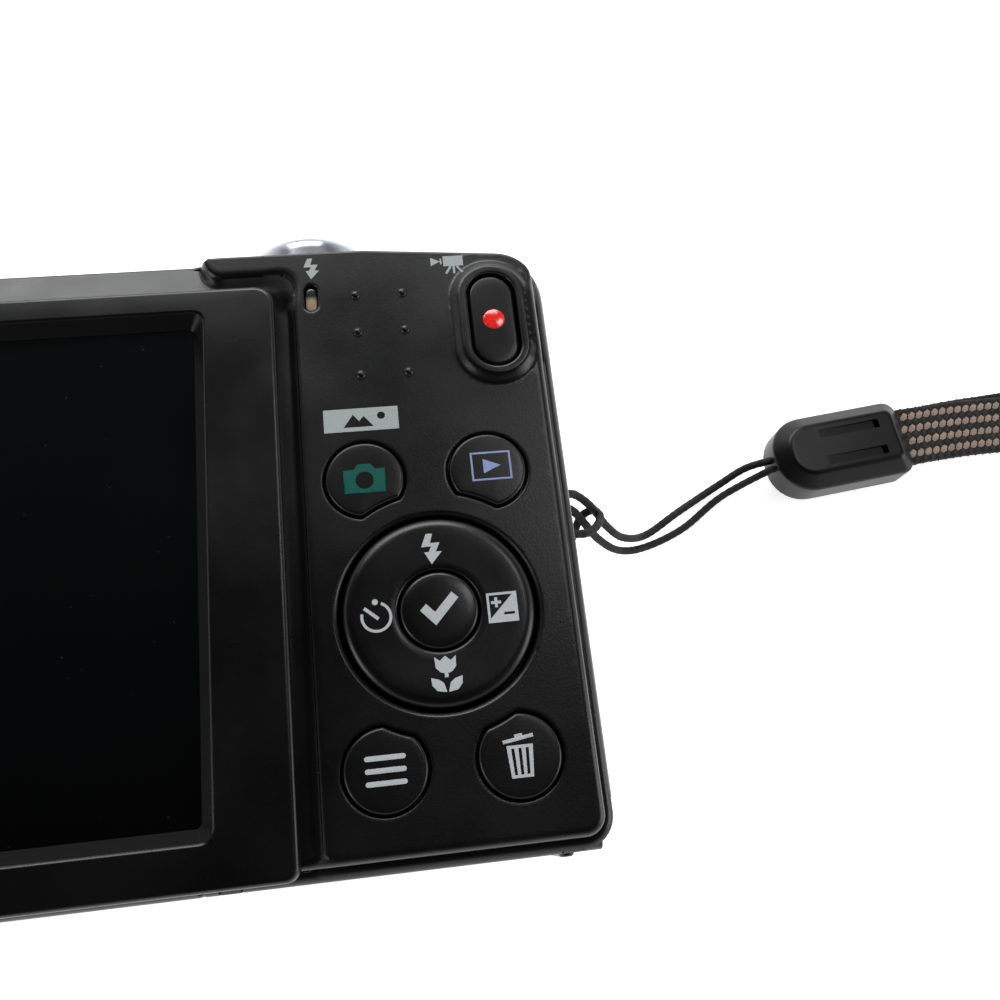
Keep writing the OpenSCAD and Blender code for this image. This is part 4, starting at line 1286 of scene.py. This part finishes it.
def make_selector():
    profile = [(OK_R + 0.17, 26.1), (SELECTOR_R - 0.1, 26.1), (SELECTOR_R, 26.2)] + SELECTOR_FACE
    disc = revolve("multi_selector_disc", profile, (*PAD, 0), button_black, "z", 144, None, 50.0)
    feet = [revolve("foot", [(ON_AXIS, 25.35), (0.65, 25.35), (0.7, 25.42), (0.7, 26.2), (ON_AXIS, 26.2)],
                    (*(PAD + 7 * np.array([math.cos(a), math.sin(a)])), 0), button_black, "z", 24, None)
            for a in np.radians([0, 90, 180, 270])]
    disc = join("multi_selector_disc", [disc] + feet)
    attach(disc, "multi_selector")
    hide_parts("multi_selector")


def make_ok_button():
    top = PANEL_Z + 0.5
    profile = [(ON_AXIS, 25.5), (1.9, 25.5), (2.0, 25.6), (2.0, 26.4), (OK_R - 0.05, 26.4), (OK_R, 26.45)]
    profile += [(OK_R - 0.45 + 0.45 * math.cos(a), top - 0.57 + 0.45 * math.sin(a))
                for a in np.radians(np.linspace(0, 80, 6))]
    profile += [(2.4, top - 0.06), (1.4, top - 0.02), (ON_AXIS, top)]
    button = revolve("ok_button_dome", profile, (*PAD, 0), button_black, "z", 96, "ok_button", 50.0)
    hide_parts("ok_button")


def make_movie_button():
    """Oblong button with a red dot set in it."""
    button = slab("movie_button_cap", pill_outline(MOVIE_AT, 4.5, 9.95), STEM_Z, PANEL_Z + 0.4,
                  movie_black, None, 0.05, 0.35, 0.05, 7)
    flange = slab("flange", pill_outline(MOVIE_AT, 5.9, 11.4), *FLANGE_Z, movie_black, None, 0.05, 0.05)
    button = join("movie_button_cap", [button, flange])
    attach(button, "movie_button")
    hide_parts("movie_button")

    def dot_outline(i):
        return circle(*MOVIE_AT, 1.08 - i, 40)

    dot = slab("movie_dot", dot_outline, PANEL_Z + 0.3, PANEL_Z + 0.55, dot_red, "movie_button",
               0.02, 0.12, 0.1)
    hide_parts("movie_button_dot")


def make_ready_lamp():
    lamp = slab("flash_ready_lamp_lens", pill_outline(READY_AT, 1.1, 2.7, 16), 24.7, PANEL_Z - 0.35,
                ready_glass, low_r=0.05, high_r=0.2, dome=0.05)
    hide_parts("flash_ready_lamp")


for key_name, key_at in (("mode_button", MODE_AT), ("playback_button", PLAYBACK_AT),
                         ("menu_button", MENU_AT), ("delete_button", DELETE_AT)):
    make_key(key_name, key_at, key_name)
make_selector()
make_ok_button()
make_movie_button()
make_ready_lamp()


# ---- Printed marks ----

def strip(a, b, width):
    """Rectangle along the line from a to b."""
    a, b = np.array(a, float), np.array(b, float)
    side = np.array([-(b - a)[1], (b - a)[0]])
    side *= width / 2 / np.linalg.norm(side)
    return np.array([a - side, b - side, b + side, a + side])


def box_loop(x0, x1, y0, y1):
    return [(x0, y0), (x1, y0), (x1, y1), (x0, y1)]


def arc_band(x, y, r, width, start, end, count=40):
    """Part of a ring between two angles."""
    a = np.radians(np.linspace(start, end, count))
    outer = np.column_stack([x + (r + width / 2) * np.cos(a), y + (r + width / 2) * np.sin(a)])
    inner = np.column_stack([x + (r - width / 2) * np.cos(a), y + (r - width / 2) * np.sin(a)])
    return np.vstack([outer, inner[::-1]])


BOLT = [(-0.45, 1.5), (0.2, 1.5), (-0.1, 0.55), (0.85, 0.55), (0.4, -0.35), (1.0, -0.35),
        (-0.1, -1.6), (-0.75, -0.35), (-0.3, -0.35), (-0.02, 0.2), (-1.0, 0.2)]


def tulip():
    """Close-up mark: a flower with two leaves."""
    flower = [(-1.0, 1.75), (-0.5, 1.35), (0.0, 1.8), (0.5, 1.35), (1.0, 1.75), (0.95, 0.75),
              (0.55, 0.3), (0.17, 0.18), (0.17, -0.2), (-0.17, -0.2), (-0.17, 0.18), (-0.55, 0.3),
              (-0.95, 0.75)]
    left = np.array([(-0.08, -1.55), (-0.95, -1.4), (-1.4, -0.85), (-1.45, -0.15), (-0.75, -0.35),
                     (-0.3, -0.7)])
    right = left[::-1] * [-1, 1]
    return [flower, left, right]


def exposure():
    """Square split by a diagonal, with a plus above it and a minus below."""
    border = [box_loop(-1.55, 1.55, -1.55, 1.55), [(-1.3, -1.1), (1.1, 1.3), (-1.3, 1.3)]]
    arm, half = 0.52, 0.15
    plus = np.array([(-arm, -half), (-arm, half), (-half, half), (-half, arm), (half, arm), (half, half),
                     (arm, half), (arm, -half), (half, -half), (half, -arm), (-half, -arm), (-half, -half)])
    return border + [plus + [-0.6, 0.55], box_loop(0.1, 1.2, -0.8, -0.52)]


def self_timer():
    """Dial with a gap, a hand and a dot."""
    return [arc_band(0, 0, 1.42, 0.28, -195, 68, 60), strip((0.2, -0.2), (-1.15, 0.95), 0.34),
            circle(-0.05, 1.5, 0.3, 20)]


def camera_mark():
    body = [(-2.05, -1.5), (2.05, -1.5), (2.05, 0.95), (1.1, 0.95), (0.65, 1.5), (-0.6, 1.5),
            (-1.0, 0.95), (-2.05, 0.95)]
    return [body, circle(0, -0.2, 0.9, 36)]


def play_mark():
    return [box_loop(-1.9, 1.9, -1.42, 1.42), box_loop(-1.72, 1.72, -1.24, 1.24),
            [(-0.75, -0.72), (0.9, 0.0), (-0.75, 0.72)]]


def bin_mark():
    lid = strip((-1.35, 1.15), (1.2, 1.55), 0.3)
    knob = strip((-0.35, 1.58), (0.3, 1.68), 0.22)
    can = [(-1.1, 0.85), (1.1, 0.85), (0.9, -1.75), (-0.9, -1.75)]
    slots = [[(x - 0.13, 0.6), (x + 0.13, 0.6), (x * 0.85 + 0.12, -1.5), (x * 0.85 - 0.12, -1.5)]
             for x in (-0.6, 0.0, 0.6)]
    return [lid, knob, can] + slots


def menu_mark():
    return [rounded(-1.6, 1.6, y - 0.2, y + 0.2, [0.19] * 4, 5) for y in (-0.95, 0.0, 0.95)]


def check_mark():
    return [[(-1.5, 0.1), (-1.0, 0.6), (-0.35, -0.1), (1.05, 1.4), (1.55, 0.9), (-0.35, -1.15)]]


def camcorder_mark():
    body = box_loop(-0.55, 1.35, -0.35, 0.75)
    horn = [(-1.75, 0.65), (-0.85, 0.2), (-1.75, -0.25)]
    legs = [strip((0.42 + x, -0.36), (0.42 + 2.8 * x, -1.15), 0.22) for x in (-0.28, 0, 0.28)]
    lens = box_loop(-0.85, -0.7, -0.1, 0.5)
    return [body, horn, lens] + legs


def scene_label():
    """Pale label with a mountain and a sun cut out of it."""
    hills = [(-1.7, -0.75), (-0.75, 0.55), (-0.2, -0.15), (0.25, 0.35), (1.15, -0.75)]
    return [box_loop(-3.52, 3.52, -1.17, 1.17), hills, circle(1.9, 0.3, 0.38, 24)]


def place_mark(name, loops, at, surface, material, body, scale=1.0):
    """Printed mark lying on a surface; surface(x, y) gives the level under it."""
    def front(p):
        return level(p, surface(p[:, 0], p[:, 1]) + 0.02)

    def back(p):
        return level(p, surface(p[:, 0], p[:, 1]) - 0.02)

    loops = [np.asarray(loop) * scale + at for loop in loops]
    points = grid(-3.6, 3.7, -2.0, 2.1, 0.2) + at
    plate("mark_" + name, loops, points, front, back, material, 0.02, body)


def make_marks():
    def panel(x, y):
        return panel_level(np.column_stack([x, y]))

    def key(at):
        return flat_top(KEY_TOP, at, BUTTON_R, KEY_DOME)

    for name, loops, shift, scale in (("bolt", [BOLT], (-0.2, 5.7), 0.92),
                                      ("exposure", exposure(), (5.65, -0.3), 0.88),
                                      ("tulip", tulip(), (0.1, -5.85), 0.95),
                                      ("self_timer", self_timer(), (-5.6, -0.15), 0.9)):
        place_mark(name, loops, PAD + shift, selector_level, print_white, "multi_selector", scale)
    place_mark("check", check_mark(), PAD + [0, -0.1], flat_top(PANEL_Z + 0.43, PAD, OK_R, 0.07),
               print_white, "ok_button", 1.15)
    place_mark("camera", camera_mark(), MODE_AT, key(MODE_AT), print_green, "mode_button", 0.94)
    place_mark("play", play_mark(), PLAYBACK_AT + [0.35, 0.3], key(PLAYBACK_AT), print_lilac,
               "playback_button")
    place_mark("menu", menu_mark(), MENU_AT, key(MENU_AT), print_white, "menu_button", 1.1)
    place_mark("bin", bin_mark(), DELETE_AT, key(DELETE_AT), print_white, "delete_button", 1.05)
    for name, loops, shift, scale in (("camcorder", camcorder_mark(), (4.25, 35.5), 1.06),
                                      ("flash", [BOLT], (-9.5, 35.7), 0.76),
                                      ("scene", scene_label(), (-5.68, 19.02), 1.0)):
        place_mark(name, loops, PAD + shift, panel, print_soft, "camera_body", scale)


make_marks()


# ---- Top controls and lens ----

def make_top_controls():
    """Zoom ring with its lever, shutter button and power button, from the top edge upwards."""
    y = Y_TOP
    profile = lifted(y, [(4.65, -1.4), (5.35, -1.4), (5.4, -1.3), (5.4, 0.25), (6.3, 0.3), (6.5, 0.5),
                         (6.5, 1.0), (6.5, 2.0), (6.5, 3.0), (6.5, 3.6), (6.35, 4.1), (6.0, 4.45),
                         (5.5, 4.6), (5.1, 4.55), (4.75, 4.35), (4.6, 4.1)])
    zoom = revolve("zoom_ring_body", profile, SHUTTER_AT, silver, "y", 144, None)

    def lever_outline(i):
        return rounded(SHUTTER_AT[0] - 2.2 + i, SHUTTER_AT[0] + 2.2 - i, 7.0 + i, 11.7 - i,
                       [2.1 - i, 2.1 - i, 0.3, 0.3], 8)

    lever = slab("lever", lever_outline, -(y + 3.0), -(y + 0.4), silver, None, 0.5, 0.3)
    lever.data.transform(STAND_UP)
    zoom = join("zoom_ring_body", [zoom, lever])
    turn_out(zoom)
    shade(zoom, 35.0)
    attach(zoom, "zoom_ring")
    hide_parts("zoom_ring")

    profile = lifted(y, [(ON_AXIS, -2.4), (2.2, -2.4), (2.2, 1.0), (4.2, 1.0), (4.3, 1.1), (4.3, 4.3),
                         (4.24, 4.6), (4.05, 4.85), (3.7, 5.02), (3.2, 5.12), (2.2, 5.18), (1.0, 5.2),
                         (ON_AXIS, 5.2)])
    shutter = revolve("shutter_button_cap", profile, SHUTTER_AT, chrome, "y", 96, "shutter_button")
    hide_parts("shutter_button")

    profile = lifted(y, [(ON_AXIS, -2.6), (3.5, -2.6), (3.6, -2.5), (3.6, -2.1), (3.5, -2.0),
                         (3.0, -2.0), (3.0, 0.2), (2.94, 0.38), (2.75, 0.48), (2.4, 0.5), (2.0, 0.42),
                         (1.2, 0.36), (ON_AXIS, 0.34)])
    power = revolve("power_button_cap", profile, POWER_AT, ring_metal, "y", 72, "power_button")
    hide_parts("power_button")


def make_lens():
    """Trim ring, the three barrels one in the other, and the front element."""
    inner = 18.8
    profile = [(inner, FACE_Z + WALL), (inner, 0.9), (inner + 0.15, 0.55), (inner + 0.5, 0.4),
               (20.4, 0.3), (20.8, 0.1), (21.1, 0.02), (21.5, 0.0), (22.6, 0.0), (23.0, 0.06),
               (23.3, 0.25), (23.45, 0.55), (23.5, 0.9), (23.5, FACE_Z), (20.2, FACE_Z),
               (20.2, FACE_Z + WALL)]
    ring = revolve("lens_ring_trim", profile, LENS_AT, ring_metal, "z", 180)
    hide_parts("lens_ring")

    low, high = (corner[2] for corner in limits("lens_barrel_outer"))
    for name, body, r in (("lens_barrel_outer", "lens_outer", 18.0),
                          ("lens_barrel_middle", "lens_middle", 16.4)):
        profile = lifted(low, [(r - 1.2, 0.3), (r - 0.95, 0.05), (r - 0.8, 0.0), (r - 0.3, 0.0),
                               (r - 0.08, 0.08), (r, 0.3), (r, 1.4), (r - 0.1, 1.5), (r - 0.1, 1.7),
                               (r, 1.8)]) + [(r, high), (r - 1.2, high)]
        tube = revolve(name + "_tube", profile, LENS_AT, barrel_grey, "z", 144, body)
        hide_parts(name)

    r = 14.8
    hole = 5.0
    profile = lifted(low, [(r - 0.3, 0.0), (r - 0.08, 0.08), (r, 0.3)]) + [(r, high), (r - 1.2, high)]
    profile += lifted(low, [(r - 1.2, 3.0), (6.5, 3.0), (6.5, 2.0), (r - 1.2, 2.0), (r - 1.2, 1.0),
                            (hole, 1.0), (hole, 0.9), (hole + 0.5, 0.75), (9.2, 0.4), (9.5, 0.15),
                            (9.8, 0.02), (10.2, 0.0)])
    tube = revolve("lens_barrel_inner_tube", profile, LENS_AT, barrel_grey, "z", 144, None)
    pin = lifted(low, [(ON_AXIS, 0.5), (0.5, 0.5), (0.5, 2.5), (ON_AXIS, 2.5)])
    pins = [revolve("pin", pin, (LENS_AT[0] + side * 10.5, LENS_AT[1], 0), barrel_grey, "z", 20, None)
            for side in (-1, 1)]
    tube = join("lens_barrel_inner_tube", [tube] + pins)
    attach(tube, "lens_inner")
    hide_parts("lens_barrel_inner")

    # Front element, a shallow dome of radius curve towards the front
    curve = 12
    profile = [(ON_AXIS, low + 4.4), (6.5, low + 4.4)]
    profile += [(t, low + 2 + curve - math.sqrt(curve ** 2 - t ** 2))
                for t in (6.5, 5.6, 4.4, 3.0, 1.5, ON_AXIS)]
    glass = revolve("front_lens_element", profile, LENS_AT, dark_glass, "z", 96, "lens_inner")
    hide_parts("front_lens")


make_top_controls()
make_lens()


# ---- CAD nodes that keep their shape ----

NODE_FINISHES = {
    sheet_steel: ("chassis", "card_slot", "usb_connector"),
    steel: ("zoom_motor", "microphone", "tripod_socket", "connector_cover_pin"),
    board_green: ("main_board",),
    inner_black: ("key_board", "door_bracket", "lens_housing", "rear_lens_group", "speaker",
                  "battery_box", "selector_pad"),
    barrel_grey: ("barrier_blade_upper", "barrier_blade_lower"),
    ring_metal: ("strap_eyelet",),
    contact_gold: ("battery_contacts", "door_contact"),
    cell_sleeve: ("battery_left", "battery_right"),
    foil: ("flash_reflector",),
    lamp_clear: ("flash_window", "flash_tube", "lcd_panel"),
    amber: ("timer_lamp",),
    sleeve: ("flash_capacitor",),
    card_blue: ("memory_card",),
    sensor_blue: ("image_sensor",),
}
# Width of the bevel on the edges of nodes that are seen close to
SOFT_EDGES = {"strap_eyelet": 0.2, "tripod_socket": 0.15, "barrier_blade_upper": 0.06,
              "barrier_blade_lower": 0.06, "memory_card": 0.2, "battery_box": 0.3, "usb_connector": 0.15,
              "battery_left": 0.4, "battery_right": 0.4, "flash_capacitor": 0.4, "zoom_motor": 0.3}

for node_finish, names in NODE_FINISHES.items():
    for node_name in names:
        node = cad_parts[node_name]
        node.data.materials.clear()
        node.data.materials.append(node_finish)
        if node_name in SOFT_EDGES:
            edge = node.modifiers.new("edge", "BEVEL")
            edge.width = SOFT_EDGES[node_name] * MM
            edge.segments = 3
            edge.limit_method = "ANGLE"


# ---- Floor, lights and background ----

def make_floor():
    """Wide pale floor, in metres, just under the object so that the two never share a plane."""
    material = Nodes("floor")
    broad = material.noise(3.0, 2.0)
    tone = material.mix(material.span(broad, 0.0, 1.0), rgb(246, 246, 246), rgb(250, 250, 250))
    material.surface(Base_Color=tone, Roughness=0.9, Specular_IOR_Level=0.1, Emission_Color=tone,
                     Emission_Strength=0.85)
    mesh = bpy.data.meshes.new("floor")
    half, drop = 3.0, 0.0002
    mesh.from_pydata([(-half, -half, -drop), (half, -half, -drop), (half, half, -drop),
                      (-half, half, -drop)], [], [(0, 1, 2, 3)])
    floor = bpy.data.objects.new("floor", mesh)
    floor.data.materials.append(material.material)
    bpy.context.collection.objects.link(floor)
    floor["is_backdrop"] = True


def make_light(name, at, aim, size, power, colour=(1, 1, 1)):
    """Area light at a place and aimed at a point in millimetres; its size is in metres."""
    data = bpy.data.lights.new(name, "AREA")
    data.shape = "RECTANGLE"
    data.size, data.size_y = size
    data.energy = power
    data.color = colour
    light = bpy.data.objects.new(name, data)
    bpy.context.collection.objects.link(light)
    turn = (Vector(aim) - Vector(at)).to_track_quat("-Z", "Y").to_matrix().to_4x4()
    light.matrix_world = Matrix.Translation(Vector(at) * MM) @ turn
    light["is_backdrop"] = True


def make_world():
    """Studio that is bright all round and dark overhead, so that flat faces stay deep black."""
    world = bpy.data.worlds.new("studio")
    world.use_nodes = True
    tree = world.node_tree
    coords = tree.nodes.new("ShaderNodeTexCoord")
    split = tree.nodes.new("ShaderNodeSeparateXYZ")
    ramp = tree.nodes.new("ShaderNodeMapRange")
    ramp.interpolation_type = "SMOOTHSTEP"
    tree.links.new(coords.outputs["Generated"], split.inputs["Vector"])
    tree.links.new(split.outputs["Z"], ramp.inputs["Value"])
    for key, number in (("From Min", 0.1), ("From Max", 0.65), ("To Min", 1.1), ("To Max", 0.015)):
        ramp.inputs[key].default_value = number
    background = tree.nodes["Background"]
    background.inputs["Color"].default_value = (1.0, 1.0, 1.0, 1.0)
    tree.links.new(ramp.outputs["Result"], background.inputs["Strength"])
    bpy.context.scene.world = world
    bpy.context.scene.view_settings.view_transform = "Standard"


make_floor()
make_light("sky_window", (-40, 520, 380), (0, 0, 20), (0.5, 0.26), 3.3, (0.98, 0.99, 1.0))
make_light("high_right", (230, 190, 520), (40, 0, 28), (0.1, 0.16), 0.4)
make_light("right_fill", (560, -100, 240), (60, 0, 20), (0.3, 0.3), 1.0)
make_light("left_fill", (-560, -200, 260), (0, 0, 20), (0.3, 0.3), 0.9)
make_world()


# Wide faces keep their own direction, so that only the edges round over
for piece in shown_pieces():
    if piece.type == "MESH":
        normals = piece.modifiers.new("normals", "WEIGHTED_NORMAL")
        normals.keep_sharp = True
